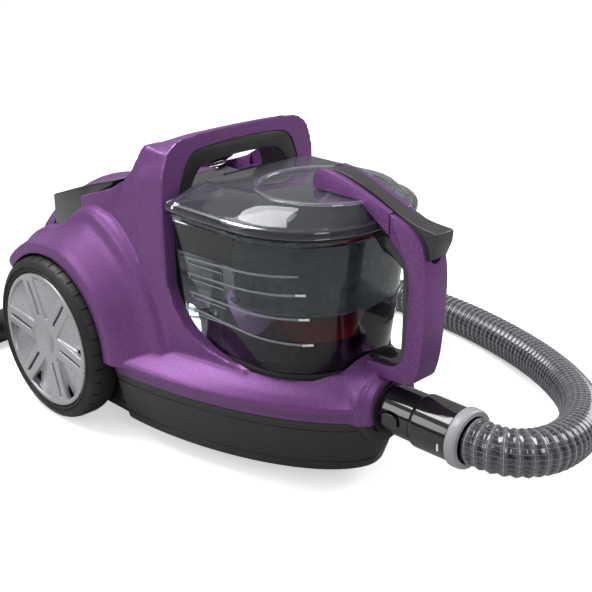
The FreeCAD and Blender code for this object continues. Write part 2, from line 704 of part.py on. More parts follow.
def cord_reel():
    """The mains cord's drum on its spindle, with the flat spring's case beside it."""
    centre = (axle_x + d.reel_x, d.reel_y - d.reel_width / 2, d.reel_z)
    bore = d.spindle_radius + d.axle_fit
    drum = turned([(bore, 0), (d.reel_radius, 0), (d.reel_radius, d.flange), (d.reel_core, d.flange),
                   (d.reel_core, d.reel_width - d.flange), (d.reel_radius, d.reel_width - d.flange),
                   (d.reel_radius, d.reel_width), (bore, d.reel_width)], centre, "Y")
    node("cord_reel_drum", drum)
    spring_at = (centre[0], centre[1] + d.reel_width + 1, centre[2])
    case = turned([(bore, 0), (d.reel_core + 6, 0), (d.reel_core + 6, 7), (bore, 7)], spring_at, "Y")
    node("reel_spring_case", case)
    start = (centre[0], centre[1] - 10 + d.fit_gap, centre[2])
    node("reel_spindle", cylinder(d.spindle_radius, d.reel_width + 18, start, "Y"))


def reel_bracket():
    """The post of the tub that holds one end of the reel's spindle."""
    y = d.reel_y - d.reel_width / 2 - 10
    x = axle_x + d.reel_x
    post = Part.makeBox(24, 8, d.reel_z + 12 - d.floor_gap, V(x - 12, y, d.floor_gap + 1))
    hole = Part.makeCylinder(d.spindle_radius + d.axle_fit, 20, V(x, y - 5, d.reel_z), Y_AXIS)
    return post.cut(hole)


def electrics():
    """Control board on the tub's posts, and the gland where the mains cord leaves."""
    low = d.floor_gap + d.wall + 8
    x0 = axle_x + 130
    node("control_board", box((x0, -d.board_width / 2 - 40, low),
                              (x0 + d.board_length, d.board_width / 2 - 40, low + d.board_thickness)))
    ring = turned([(d.gland_bore, 0), (d.gland_radius + 2, 0), (d.gland_radius + 2, 1.5),
                   (d.gland_radius, 1.5), (d.gland_radius, 8), (d.gland_bore, 8)],
                  (rear_x - 1.5, d.gland_y, d.gland_z), "X")
    node("cord_gland", ring)


def board_posts():
    x0, y0 = axle_x + 130, -d.board_width / 2 - 40
    spots = [(x0 + 6, y0 + 6), (x0 + d.board_length - 6, y0 + 6), (x0 + 6, y0 + d.board_width - 6),
             (x0 + d.board_length - 6, y0 + d.board_width - 6)]
    return [Part.makeCylinder(3, 8 + d.wall / 2, V(x, y, d.floor_gap + d.wall / 2)) for x, y in spots]


# ---------------------------------------------------------------- pedals

def pedal(side, name):
    """One foot pedal, hinged at its front end, with its pin and return spring."""
    y0 = side * d.pedal_y - d.pedal_width / 2
    outline = [V(x, y0, z) for x, z in pedal_line(0)]
    plate = prism(outline, V(0, d.pedal_width, 0))
    pivot = pedal_pivot()
    ear = Part.makeCylinder(d.pedal_pin * 2.4, d.pedal_width, V(pivot[0], y0, pivot[1]), Y_AXIS)
    hole = Part.makeCylinder(d.pedal_pin + d.axle_fit, d.pedal_width, V(pivot[0], y0, pivot[1]), Y_AXIS)
    node(name, solid(plate.fuse(ear).cut(hole).removeSplitter()))
    spring_x, top = axle_x - d.pedal_rear + 8, d.pedal_top - d.pedal_depth - d.fit_gap
    foot = (spring_x, side * d.pedal_y, top - d.spring_length)
    node(f"{name}_spring", coil(foot, d.spring_length, d.spring_radius, 5))


def pedal_pivot():
    return axle_x + d.pedal_front - 8, d.pedal_top + d.pedal_rise - 16


def coil(at, length, radius, turns):
    """A compression spring: round wire swept along a helix."""
    height = length - 2 * d.wire
    helix = Part.makeHelix(height / turns, height, radius)
    tangent = V(0, radius, height / turns / (2 * math.pi))
    circle = Part.Wire(Part.makeCircle(d.wire, V(radius, 0, 0), tangent))
    spring = Part.Wire(helix.Edges).makePipeShell([circle], True, True)
    return solid(spring, (at[0], at[1], at[2] + d.wire))


def pin_hole(side):
    x, z = pedal_pivot()
    start = V(x, side * d.pedal_y - d.pedal_width / 2 - 5, z)
    return Part.makeCylinder(d.pedal_pin + d.axle_fit, d.pedal_width + 10, start, Y_AXIS)


def pedal_pins():
    pins = []
    x, z = pedal_pivot()
    for side in (1, -1):
        start = (x, side * d.pedal_y - d.pedal_width / 2 - 5, z)
        pins.append(cylinder(d.pedal_pin, d.pedal_width + 10, start, "Y"))
    node("pedal_pins", group(*pins))


# ---------------------------------------------------------------- dust bin

def dust_bin():
    """The clear bin: tapered walls, floor with its inlet port, rear outlet and hinge ears."""
    outer = bin_form(0, d.bin_floor, d.bin_rim)
    inner = bin_form(-d.bin_wall, d.bin_floor + d.bin_floor_wall, d.bin_rim + 1)
    shell = outer.cut(inner)
    inlet = Part.makeCylinder(d.duct_bore, 20, V(duct_x(), 0, d.bin_floor - 10))
    outlet = Part.makeBox(20, d.port_width, d.port_height, V(bin_back - 10, -d.port_width / 2, port_low()))
    return shell.cut([inlet, outlet]).removeSplitter()


def duct_x():
    return axle_x + d.inlet_front - d.inlet_depth - d.duct_turn


def bin_gasket():
    """The dark seal round the bin's lower edge."""
    low = d.bin_floor + 1
    band = bin_form(d.gasket_wall, low, low + d.gasket_height)
    return band.cut(bin_form(d.axle_fit, low - 1, low + d.gasket_height + 1))


def lid_ring(inset, drop, z):
    """The lid's outline at a height; its back leans forward as its sides lean in."""
    nose = bin_nose + d.lid_overhang - inset - drop
    half = d.bin_half_width + d.lid_overhang - inset - drop
    back = bin_back + d.lid_lean * inset / d.lid_inset + drop
    return nose_outline(back, bin_back + d.bin_straight, nose, half, BIN_POWER, z)


def lid_form(drop):
    """The lid's flange and dome, or the hollow beneath it when dropped by a wall."""
    low = lid_low()
    top = low + d.lid_flange
    flange = loft([lid_ring(0, drop, low - (1 if drop else 0)), lid_ring(0, drop, top - drop)])
    dome = loft([lid_ring(d.lid_overhang, drop, top - drop),
                 lid_ring(d.lid_inset, drop, top + d.lid_rise - drop)])
    return flange.fuse(dome)


def lid_low():
    return d.bin_rim + d.seal_size + d.fit_gap * 2


def bin_lid():
    """The clear domed lid with room for its hinge, its rear edge relieved so that it can swing."""
    lid = lid_form(0).cut(lid_form(d.lid_wall))
    relief = Part.makeBox(5, 300, d.lid_relief + 1, V(bin_back - 1, -150, lid_low() - 1))
    return lid.cut([hinge_room(), relief]).removeSplitter()


def hinge_room():
    radius = d.hinge_radius + 1
    block = Part.makeBox(2 * radius + 8, d.hinge_length + 2, 60,
                         V(axle_x + d.hinge_x - radius - 8, -d.hinge_length / 2 - 1, d.bin_rim + 3))
    return block


def lid_hinge():
    """Three knuckles on one pin: the outer two stand on the bin, the middle one carries the lid."""
    x, z = axle_x + d.hinge_x, d.hinge_height
    third = d.hinge_length / 3
    low = d.bin_rim - 12
    for name, spans in (("hinge_bracket", (0, 2)), ("hinge_knuckle", (1,))):
        pieces = []
        for i in spans:
            y0 = -d.hinge_length / 2 + i * third + d.fit_gap / 2
            width = third - d.fit_gap
            barrel = Part.makeCylinder(d.hinge_radius, width, V(x, y0, z), Y_AXIS)
            if name == "hinge_bracket":
                foot = Part.makeBox(4, width, z - low, V(bin_back + d.bin_wall + d.fit_gap, y0, low))
            else:
                underside = lid_low() + d.lid_flange + d.lid_rise - d.lid_wall
                foot = Part.makeBox(d.hinge_radius * 2 + 6, width, underside - z + 2, V(x, y0, z - 2))
            hole = Part.makeCylinder(d.hinge_pin + d.axle_fit, width, V(x, y0, z), Y_AXIS)
            pieces.append(barrel.fuse(foot).cut(hole))
        node(name, solid(Part.makeCompound(pieces) if len(pieces) > 1 else pieces[0]))
    node("lid_hinge_pin", cylinder(d.hinge_pin, d.hinge_length, (x, -d.hinge_length / 2, z), "Y"))


def lid_seal():
    """The soft ring between the bin's rim and the lid."""
    low = d.bin_rim + d.fit_gap
    band = bin_form(0, d.bin_rim, d.bin_rim + d.seal_size).translated(V(0, 0, d.fit_gap))
    hollow = bin_form(-d.bin_wall, d.bin_rim - 1, d.bin_rim + d.seal_size + 2)
    return band.cut(hollow)


def cyclone():
    """The separator that hangs in the bin: ribbed shroud, mesh screen and red cone."""
    top = d.bin_rim - d.fit_gap - 6
    low = top - d.shroud_height
    at = (cyclone_x, 0, low)
    shroud = turned([(d.shroud_radius - 6, 0), (d.shroud_radius + 6, 0), (d.shroud_radius + 6, d.flange),
                     (d.shroud_radius, d.flange), (d.shroud_radius, d.shroud_height - d.flange),
                     (d.shroud_radius + 4, d.shroud_height - d.flange),
                     (d.shroud_radius + 4, d.shroud_height), (d.shroud_radius - 6, d.shroud_height)], at)
    node("cyclone_shroud", shroud)
    inner = d.shroud_radius - 6 - d.seam_gap
    screen = turned([(inner - d.screen_wall, 4), (inner, 4), (inner, d.shroud_height - 4),
                     (inner - d.screen_wall, d.shroud_height - 4)], at)
    node("mesh_screen", screen)
    cone_low = low - d.cone_height + 30
    wall = 2
    cone_body = turned([(d.cone_tip - wall, 0), (d.cone_tip, 0),
                        (inner - d.screen_wall - d.seam_gap, d.cone_height),
                        (inner - d.screen_wall - d.seam_gap, top - cone_low),
                        (inner - d.screen_wall - d.seam_gap - wall, top - cone_low),
                        (inner - d.screen_wall - d.seam_gap - wall, d.cone_height)],
                       (cyclone_x, 0, cone_low))
    node("cyclone_cone", cone_body)


def outlet_duct():
    """The dark duct under the lid, from the cyclone's top to the bin's rear outlet."""
    low, high = port_low() - 2, port_low() + d.port_height + 2
    half = d.port_width / 2 + 2
    start, end = bin_back + d.bin_wall + d.fit_gap, cyclone_x - d.shroud_radius / 2
    outer = Part.makeBox(end - start, 2 * half, high - low, V(start, -half, low))
    inner = Part.makeBox(end - start, 2 * half - 4, high - low - 4, V(start, -half + 2, low + 2))
    shroud = Part.makeCylinder(d.shroud_radius + d.fit_gap, 200, V(cyclone_x, 0, low - 50))
    return outer.cut([inner, shroud])


# ---------------------------------------------------------------- bin handle

def lower_handle():
    """The upright grip on the bin's front, from its foot to the split below the lever."""
    front, bar = axle_x + d.handle_front, d.handle_bar
    low = d.handle_foot
    nose_low = bin_nose - d.bin_nose_taper + 3
    split_x = axle_x + d.handle_split
    points = [(nose_low, low), (front - 14, low), (front, low + 22), (front, d.handle_top - 30),
              (front - 12, d.handle_top - 16), (split_x, d.handle_top - 2), (split_x, d.handle_top - 22),
              (front - bar - 6, d.handle_top - 36), (front - bar, d.handle_top - 44),
              (front - bar, low + 30), (front - bar - 6, low + 22), (nose_low, low + 18)]
    outline = [V(x, -d.handle_width / 2, z) for x, z in points]
    body = prism(outline, V(0, d.handle_width, 0))
    notch = Part.makeCylinder(d.lever_width / 2 + 1, 40, V(front - 8, 0, d.handle_top - 30), X_AXIS)
    channel = Part.makeBox(60, d.lever_width + 2, 30,
                           V(split_x - 2, -d.lever_width / 2 - 1, d.handle_top - 21))
    clear = bin_form(0.5, d.bin_floor, d.bin_rim)
    return biggest(body.cut([notch, channel, clear]).removeSplitter())


def handle_frame():
    """The dark lining of the grip's opening."""
    front, bar = axle_x + d.handle_front, d.handle_bar
    back = bin_nose + 1.5
    low, high = d.handle_foot + 19, d.handle_top - 38
    right = front - bar - d.fit_gap
    half = d.handle_width / 2 - 3
    outer = Part.makeBox(right - back, 2 * half, high - low, V(back, -half, low))
    inner = Part.makeBox(right - back - 6, 2 * half, high - low - 20, V(back + 3, -half, low + 12))
    slope = prism([V(right - 8, -half - 1, low - 1), V(right + 1, -half - 1, low - 1),
                   V(right + 1, -half - 1, low + 12)], V(0, 2 * half + 2, 0))
    slope_top = prism([V(right - 14, -half - 1, high + 1), V(right + 1, -half - 1, high + 1),
                       V(right + 1, -half - 1, high - 9)], V(0, 2 * half + 2, 0))
    return outer.cut([inner, slope, slope_top]).cut(lower_handle())


def lid_handle():
    """The upper part of the handle, fixed to the lid, with the lever's channel along it."""
    split_x = axle_x + d.handle_split - d.fit_gap
    rear, top = axle_x + d.lever_rear - 14, d.lever_height
    lid_top = lid_low() + d.lid_flange + d.lid_rise
    points = [(rear, lid_top - 4), (rear, top - 6), (rear + 10, top), (rear + 40, top - 4),
              (split_x, d.handle_top - 2), (split_x - d.split_lean, d.handle_top - 22),
              (axle_x + 350, d.bin_rim + 6)]
    body = prism([V(x, -d.handle_width / 2 - 2, z) for x, z in points], V(0, d.handle_width + 4, 0))
    y0, width = -d.lever_width / 2 - 0.6, d.lever_width + 1.2
    channel = prism([V(x, y0, z) for x, z in lever_line(0.6, 40)], V(0, width, 0))
    x, z = lever_pivot()
    heel = Part.makeCylinder(d.lever_thickness, width, V(x, y0, z), Y_AXIS)
    lid_room = lid_form(0).translated(V(0, 0, d.fit_gap))
    return biggest(body.cut([channel, heel, lid_room]).removeSplitter())


def lever_line(grow, extra=0):
    """The lever's side outline, grown by a clearance, its top raised by an extra height."""
    rear, tip = axle_x + d.lever_rear, axle_x + d.lever_tip
    top, thick = d.lever_height, d.lever_thickness
    low_tip = top - d.lever_drop
    return [(rear - grow, top - thick - grow), (rear - grow, top + extra), (rear + 30, top - 3 + extra),
            (tip - 18, low_tip + 8 + extra), (tip + grow, low_tip + 4 + extra),
            (tip + grow, low_tip - 8 - grow), (tip - 12, low_tip - 8 - grow),
            (tip - 34, low_tip + 4 - grow), (rear + 34, top - thick - 3 - grow)]


def release_lever():
    """The lid's release lever, hinged at its rear end and hooked at its tip."""
    outline = [V(x, -d.lever_width / 2, z) for x, z in lever_line(0)]
    body = prism(outline, V(0, d.lever_width, 0))
    x, z = lever_pivot()
    hole = Part.makeCylinder(d.lever_pin + d.axle_fit, d.lever_width, V(x, -d.lever_width / 2, z), Y_AXIS)
    return body.cut(hole)


def lever_pivot():
    return axle_x + d.lever_rear + 7, d.lever_height - 5


def handle_parts():
    node("bin_handle", solid(lower_handle()))
    node("bin_handle_frame", solid(handle_frame()))
    x, z = lever_pivot()
    pin_length = d.lever_width + 8
    pin_hole = Part.makeCylinder(d.lever_pin, pin_length, V(x, -pin_length / 2, z), Y_AXIS)
    node("lid_handle", solid(lid_handle().cut(pin_hole)))
    node("release_lever", solid(release_lever()))
    node("lever_pin", cylinder(d.lever_pin, pin_length, (x, -pin_length / 2, z), "Y"))


# ---------------------------------------------------------------- inlet and hose

def inlet():
    """The sleeve that the connector plugs into, its seal and the duct to the bin."""
    x0 = axle_x + d.inlet_front - d.inlet_depth
    outer = d.inlet_bore + d.inlet_wall
    sleeve = turned([(d.duct_bore, 0), (outer, 0), (outer, d.inlet_depth + 4),
                     (d.inlet_bore, d.inlet_depth + 4), (d.inlet_bore, 4), (d.duct_bore, 4)],
                    (x0, 0, d.inlet_height), "X")
    node("inlet_sleeve", sleeve)
    seal = turned([(d.tube_radius - 3, 4.3), (d.inlet_bore, 4.3), (d.inlet_bore, 7), (d.tube_radius - 3, 7)],
                  (x0, 0, d.inlet_height), "X")
    node("inlet_seal", seal)
    node("inlet_duct", solid(duct(x0)))


def duct(x0):
    """A tube from the sleeve's back that turns up to the bin's floor."""
    z = d.inlet_height
    outer, inner = d.duct_bore + d.inlet_wall, d.duct_bore
    rise = d.bin_floor - d.fit_gap - z
    turn = min(d.duct_turn * 0.6, rise * 0.95)
    start, corner_x = V(x0 - d.fit_gap, 0, z), duct_x()
    first = Part.LineSegment(start, V(corner_x + turn, 0, z)).toShape()
    middle = V(corner_x + turn * (1 - math.sin(math.pi / 4)), 0, z + turn * (1 - math.cos(math.pi / 4)))
    bend = Part.Arc(V(corner_x + turn, 0, z), middle, V(corner_x, 0, z + turn)).toShape()
    last = Part.LineSegment(V(corner_x, 0, z + turn), V(corner_x, 0, z + rise)).toShape()
    path = Part.Wire([first, bend, last])
    tubes = []
    for radius in (outer, inner):
        circle = Part.Wire(Part.makeCircle(radius, start, V(-1, 0, 0)))
        tubes.append(path.makePipeShell([circle], True, False))
    return tubes[0].cut(tubes[1])


def connector():
    """The hose's connector: stepped tube, latch button with its spring, and end ring."""
    x0 = axle_x + d.inlet_front - d.inlet_depth + 7.3
    length = tube_front - x0
    step = axle_x + d.tube_step_at - x0
    r0, r1 = d.tube_radius, d.tube_radius + d.tube_step
    tube = turned([(r0 - d.tube_wall, 0), (r0, 0), (r0, step), (r1, step), (r1, length),
                   (r1 - d.tube_wall, length), (r1 - d.tube_wall, step + 2), (r0 - d.tube_wall, step + 2)],
                  (x0, 0, d.inlet_height), "X")
    latch_x = axle_x + d.inlet_front + 8
    y_face = -(r0 - d.latch_depth / 2)
    pocket = box((latch_x - 0.4, y_face - 10, d.inlet_height - d.latch_width / 2 - 0.4),
                 (latch_x + d.latch_length + 0.4, y_face + 5.2, d.inlet_height + d.latch_width / 2 + 0.4))
    node("connector_tube", cut(tube, pocket))
    button = box((latch_x, y_face - d.latch_depth, d.inlet_height - d.latch_width / 2),
                 (latch_x + d.latch_length, y_face, d.inlet_height + d.latch_width / 2))
    node("latch_button", button)
    ring = turned([(r1 - d.tube_wall, 0), (r1 + d.ring_lip, 0), (r1 + d.ring_lip, d.ring_length),
                   (r1 - d.tube_wall - 2, d.ring_length), (r1 - d.tube_wall - 2, 4), (r1 - d.tube_wall, 4)],
                  (tube_front, 0, d.inlet_height), "X")
    node("end_ring", ring)


# Points of the hose's centre line, from the end ring round to its handle; x is from the axle.
HOSE_ROUTE = [
    (468.3, 0, 92), (487, 0, 91.7), (504, 8, 90.5), (516, 24, 88.5), (521, 46, 85.5), (519, 72, 81),
    (512, 101, 75.5), (499, 132, 69), (480, 167, 61), (453, 204, 52), (417, 242, 42.5), (374, 278, 34),
    (322, 311, 27), (261, 337, 23), (193, 354, 22), (121, 361, 22), (48, 357, 22), (-25, 341, 22),
    (-90, 310, 22), (-145, 267, 22), (-187, 214, 22), (-214, 153, 22), (-227, 91, 22), (-229, 29, 22),
    (-224, -31, 22),
]


def hose_points():
    return [V(axle_x + x, y, z) for x, y, z in HOSE_ROUTE]


def run_path(points):
    """Straight runs joined by tangent arcs; each arc is as large as its two runs allow."""
    edges, radii = [], []
    at = points[0]
    for before, corner, after in zip(points, points[1:], points[2:]):
        into, out = (corner - before).normalize(), (after - corner).normalize()
        shorter = min((corner - before).Length, (after - corner).Length)
        reach = 0.45 * shorter
        turn = into.getAngle(out)
        radii.append(reach / math.tan(turn / 2))
        start, end = corner - into * reach, corner + out * reach
        bisector = (out - into).normalize()
        centre_gap = radii[-1] / math.cos(turn / 2)
        middle = corner + bisector * (centre_gap - radii[-1])
        edges.append(Part.LineSegment(at, start).toShape())
        edges.append(Part.Arc(start, middle, end).toShape())
        at = end
    edges.append(Part.LineSegment(at, points[-1]).toShape())
    return Part.Wire(edges), radii


def hose():
    """The hose as a plain closed tube along its route."""
    points = hose_points()
    path, radii = run_path(points)
    radius = d.hose_diameter / 2
    circle = Part.Wire(Part.makeCircle(radius, points[0], (points[1] - points[0]).normalize()))
    tube = path.makePipeShell([circle], True, False)
    print("hose length", round(path.Length), "radii", [round(r) for r in radii])
    print("hose volume over section times length",
          round(tube.Volume / (math.pi * radius ** 2 * path.Length), 4))
    return tube


def hose_grip():
    """The cuff, bent hand grip and sliding air valve on the hose's far end."""
    points = hose_points()
    end = points[-1]
    along = (points[-1] - points[-2]).normalize()
    radius = d.hose_diameter / 2
    turn = FreeCAD.Rotation(Z_AXIS, along)
    place_at = FreeCAD.Placement(end + along * d.fit_gap, turn)
    cuff = turned([(radius - 4, 0), (radius, 0), (radius, d.cuff_length * 0.6),
                   (d.handle_tube + d.cuff_wall, d.cuff_length), (radius - 4, d.cuff_length)])
    cuff.Placement = place_at
    node("hose_cuff", cuff)
    start = end + along * (d.fit_gap * 2 + d.cuff_length)
    outer, inner = d.handle_tube + d.cuff_wall, d.handle_tube
    straight = Part.makeCylinder(outer, d.grip_length, start, along)
    straight = straight.cut(Part.makeCylinder(inner, d.grip_length, start, along))
    spigot_at = start + along * d.grip_length
    spigot = Part.makeCylinder(inner, 40, spigot_at, along)
    spigot = spigot.cut(Part.makeCylinder(inner - 2, 42, spigot_at - along, along))
    collar_ring = Part.makeCylinder(outer, 3, spigot_at - along * 3, along)
    collar_ring = collar_ring.cut(Part.makeCylinder(inner - 2, 5, spigot_at - along * 4, along))
    node("hose_handle", solid(straight.fuse([spigot, collar_ring]).removeSplitter()))
    slider_at = start + along * 40 + V(0, 0, outer + d.fit_gap)
    slider = Part.makeBox(24, 12, 3, V(-12, -6, 0))
    slider.Placement = FreeCAD.Placement(slider_at, FreeCAD.Rotation(X_AXIS, along))
    node("air_slider", solid(slider))


# ---------------------------------------------------------------- caster

def caster():
    """The front swivel caster: fork with its stem, wheel and pin."""
    x, trail = axle_x + d.caster_x, d.caster_trail
    wheel_x, z = x - trail, d.caster_radius
    bore = d.caster_pin + d.axle_fit
    wheel_at = (wheel_x, -d.caster_width / 2, z)
    wheel_body = turned([(bore, 0), (d.caster_radius - 2, 0), (d.caster_radius, 2),
                         (d.caster_radius, d.caster_width - 2), (d.caster_radius - 2, d.caster_width),
                         (bore, d.caster_width)], wheel_at, "Y")
    node("caster_wheel", wheel_body)
    inside, outside = d.caster_width / 2 + 0.6, d.caster_width / 2 + 0.6 + d.fork_wall
    roof = d.recess_roof - 1
    cheek_low = d.caster_pin * 2.4
    plate = Part.makeCylinder(19, 3, V(x - trail / 2, 0, roof - 3))
    cheeks = []
    for side in (1, -1):
        y = inside if side > 0 else -outside
        outline = [V(wheel_x - cheek_low, y, z - 4), V(wheel_x + cheek_low, y, z - 4),
                   V(wheel_x + 16, y, roof - 2), V(wheel_x - 10, y, roof - 2)]
        cheeks.append(prism(outline, V(0, d.fork_wall, 0)))
    stem = Part.makeCylinder(d.stem_radius, d.stem_length + 1 - d.fit_gap, V(x, 0, roof))
    fork = plate.fuse(cheeks + [stem])
    fork = fork.cut(Part.makeCylinder(d.caster_pin, 2 * outside + 2, V(wheel_x, -outside - 1, z), Y_AXIS))
    node("caster_fork", solid(fork.removeSplitter()))
    node("caster_axle", cylinder(d.caster_pin, 2 * outside, (wheel_x, -outside, z), "Y"))


def screws():
    """The screws that hold the cover to the tub, up through the floor."""
    pieces = []
    for x, y in SCREW_SPOTS:
        head = cylinder(d.screw_head, 2, (axle_x + x, y, d.floor_gap))
        shank = cylinder(d.screw_shank, d.screw_length, (axle_x + x, y, d.floor_gap + 2))
        pieces.append(join(head, shank))
    node("housing_screws", group(*pieces))


SCREW_SPOTS = [(-82, 84), (-82, -84), (140, 84), (140, -84), (338, 0)]


def screw_holes():
    heads, shanks = [], []
    for x, y in SCREW_SPOTS:
        heads.append(Part.makeCylinder(d.screw_head, 2, V(axle_x + x, y, d.floor_gap)))
        shanks.append(Part.makeCylinder(d.screw_shank, d.screw_length + 2, V(axle_x + x, y, d.floor_gap)))
    return heads + shanks


def screw_bosses():
    return [Part.makeCylinder(d.screw_head + 2, 20, V(axle_x + x, y, d.floor_gap)) for x, y in SCREW_SPOTS]


# ---------------------------------------------------------------- the assembly

def build():
    wheel(-1, "right")
    wheel(1, "left")
    axles()
    tub = lower_housing().fuse(motor_cradle() + [reel_bracket()] + board_posts() + screw_bosses())
    tub = tub.cut(screw_holes() + [inlet_clearance()])
    node("lower_housing", solid(biggest(tub.removeSplitter())))
    node("main_cover", solid(main_cover()))
    node("handle_liner", solid(handle_liner()))
    node("filter_cover", solid(filter_cover()))
    node("bulkhead", solid(bulkhead()))
    motor()
    filters()
    cord_reel()
    electrics()
    for side, name in ((-1, "power_pedal"), (1, "rewind_pedal")):
        pedal(side, name)
    pedal_pins()
    node("dust_bin", solid(dust_bin()))
    node("bin_gasket", solid(bin_gasket()))
    node("bin_lid", solid(bin_lid()))
    node("lid_seal", solid(lid_seal()))
    lid_hinge()
    cyclone()
    node("outlet_duct", solid(outlet_duct()))
    handle_parts()
    inlet()
    connector()
    node("hose", solid(hose()))
    hose_grip()
    caster()
    screws()


def check():
    """Stop on any failed object or broken shape before a file is written."""
    doc.recompute()
    for obj in doc.Objects:
        bad = [state for state in obj.State if state in ("Invalid", "Error")]
        if bad:
            raise RuntimeError(f"{obj.Label}: {bad}")
    for obj in nodes:
        shape = obj.Shape
        if shape.isNull() or not shape.isValid():
            raise RuntimeError(f"{obj.Label}: broken shape")


def write():
    os.makedirs("parts", exist_ok=True)
    for obj in nodes:
        obj.Shape.exportStep(f"parts/{obj.Label}.step")
    print(len(nodes), "sub-parts")


build()
check()
write()
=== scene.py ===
"""Canister vacuum cleaner: detailed pieces, finishes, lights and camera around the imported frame."""
import json
import math

import bmesh
import bpy
from bpy.props import FloatProperty, FloatVectorProperty, IntProperty, PointerProperty
from bpy.types import Operator, Panel, PropertyGroup
from mathutils import Matrix, Vector


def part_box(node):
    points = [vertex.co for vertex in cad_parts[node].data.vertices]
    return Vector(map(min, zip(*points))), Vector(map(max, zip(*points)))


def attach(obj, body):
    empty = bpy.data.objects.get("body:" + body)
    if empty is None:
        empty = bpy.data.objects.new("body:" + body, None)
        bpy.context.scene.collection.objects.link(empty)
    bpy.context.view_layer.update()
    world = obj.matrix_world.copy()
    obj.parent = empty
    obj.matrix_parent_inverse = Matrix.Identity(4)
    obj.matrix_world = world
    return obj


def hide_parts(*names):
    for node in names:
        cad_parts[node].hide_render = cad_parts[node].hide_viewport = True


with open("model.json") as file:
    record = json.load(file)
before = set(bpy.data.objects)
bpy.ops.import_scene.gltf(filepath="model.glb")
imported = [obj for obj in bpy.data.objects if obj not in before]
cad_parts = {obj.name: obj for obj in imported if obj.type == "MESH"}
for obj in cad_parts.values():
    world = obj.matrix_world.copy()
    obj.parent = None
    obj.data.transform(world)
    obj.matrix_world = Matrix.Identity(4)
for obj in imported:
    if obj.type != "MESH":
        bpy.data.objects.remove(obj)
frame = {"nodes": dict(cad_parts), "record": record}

bl_info = {
    "name": "Canister vacuum cleaner",
    "version": (1, 0, 0),
    "blender": (4, 5, 0),
    "location": "View3D > Sidebar > Vacuum",
    "description": "Builds the visible pieces of a canister vacuum cleaner around its packed frame",
    "category": "Object",
}

MM = 0.001
TYRE_LOW, TYRE_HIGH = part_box("right_tyre")
AXLE_X = (TYRE_LOW.x + TYRE_HIGH.x) / 2
WHEEL_RADIUS = (TYRE_HIGH.z - TYRE_LOW.z) / 2 / MM
WHEEL_FACE = -TYRE_LOW.y / MM
WHEEL_INNER = -TYRE_HIGH.y / MM
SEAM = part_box("main_cover")[0].z / MM - 0.3
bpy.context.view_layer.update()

# millimetres from the axle's middle, as at() takes them
INLET_Z = 92
INLET_BORE = 27.8
GLAND_Y, GLAND_Z, GLAND_RADIUS = 62, 60, 9.3
PEDAL_Y, PEDAL_HALF, PEDAL_GAP = 70, 13.6, 2
BIN_FLOOR, BIN_HEIGHT, BIN_TAPER = 122, 142, 17
BIN_BACK, BIN_STRAIGHT, BIN_NOSE, BIN_HALF, BIN_POWER = 169, 253, 355, 99, 2.3
SEAT_GAP = 1.6
CASTER_X = 292
CAP_GRID = 0.9 * MM


# ---------------------------------------------------------------- sizes and colours

class ShellSettings(PropertyGroup):
    """The purple cover."""
    colour: FloatVectorProperty(name="Shell colour", description="Satin metallic colour of the covers",
                                subtype="COLOR", default=(0.15, 0.046, 0.19), min=0, max=1)
    voxel: FloatProperty(name="Blend grid", description="Grid that melts the cover's forms together",
                         default=0.0021, unit="LENGTH", precision=4)
    passes: IntProperty(name="Blend passes", description="Smoothing passes over the cover", default=4)
    lip_gap: FloatProperty(name="Wheel gap", description="Gap between tyre and wheel arch",
                           default=0.0025, unit="LENGTH", precision=4)


class WheelSettings(PropertyGroup):
    """Tyres and hubcaps."""
    cap_colour: FloatVectorProperty(name="Hubcap colour", description="Silver paint of the hubcaps",
                                    subtype="COLOR", default=(0.4, 0.405, 0.42), min=0, max=1)
    spokes: IntProperty(name="Spokes", description="Twin spokes on each hubcap", default=6)
    spoke_width: FloatProperty(name="Spoke width", description="Width of one twin spoke",
                               default=0.021, unit="LENGTH", precision=4)
    notches: IntProperty(name="Tread notches", description="Notches round the tyre's shoulder", default=34)


class BinSettings(PropertyGroup):
    """The clear bin."""
    tint: FloatVectorProperty(name="Bin tint", description="Tint of the clear smoked plastic",
                              subtype="COLOR", default=(0.52, 0.55, 0.57), min=0, max=1)
    wall: FloatProperty(name="Bin wall", description="Wall of the clear bin", default=0.0022,
                        unit="LENGTH", precision=4)
    ribs: IntProperty(name="Side ribs", description="Raised ribs on each side of the bin", default=4)


class HoseSettings(PropertyGroup):
    """The ribbed hose."""
    diameter: FloatProperty(name="Hose diameter", description="Outside diameter over the ribs",
                            default=0.044, unit="LENGTH", precision=4)
    pitch: FloatProperty(name="Rib pitch", description="Distance from rib to rib", default=0.009,
                         unit="LENGTH", precision=4)
    ribs_deep: FloatProperty(name="Rib depth", description="Height of a rib above its valley",
                             default=0.0019, unit="LENGTH", precision=4)
    yarns: IntProperty(name="Yarns", description="Lengthways yarns in the hose wall", default=26)


class StageSettings(PropertyGroup):
    """Floor and lights."""
    floor: FloatVectorProperty(name="Floor colour", description="Colour of the plain floor",
                               subtype="COLOR", default=(0.86, 0.86, 0.86), min=0, max=1)
    key_power: FloatProperty(name="Key light", description="Power of the large soft light",
                             default=21, subtype="POWER")


# ---------------------------------------------------------------- mesh helpers

def at(x, y, z):
    """A point from millimetres ahead of the axle, to the left and above the floor."""
    return Vector((AXLE_X + x * MM, y * MM, z * MM))


def bin_size(z):
    """The bin's nose and half width at a height."""
    taper = BIN_TAPER * (1 - (z - BIN_FLOOR) / BIN_HEIGHT)
    return BIN_NOSE - taper, BIN_HALF - taper


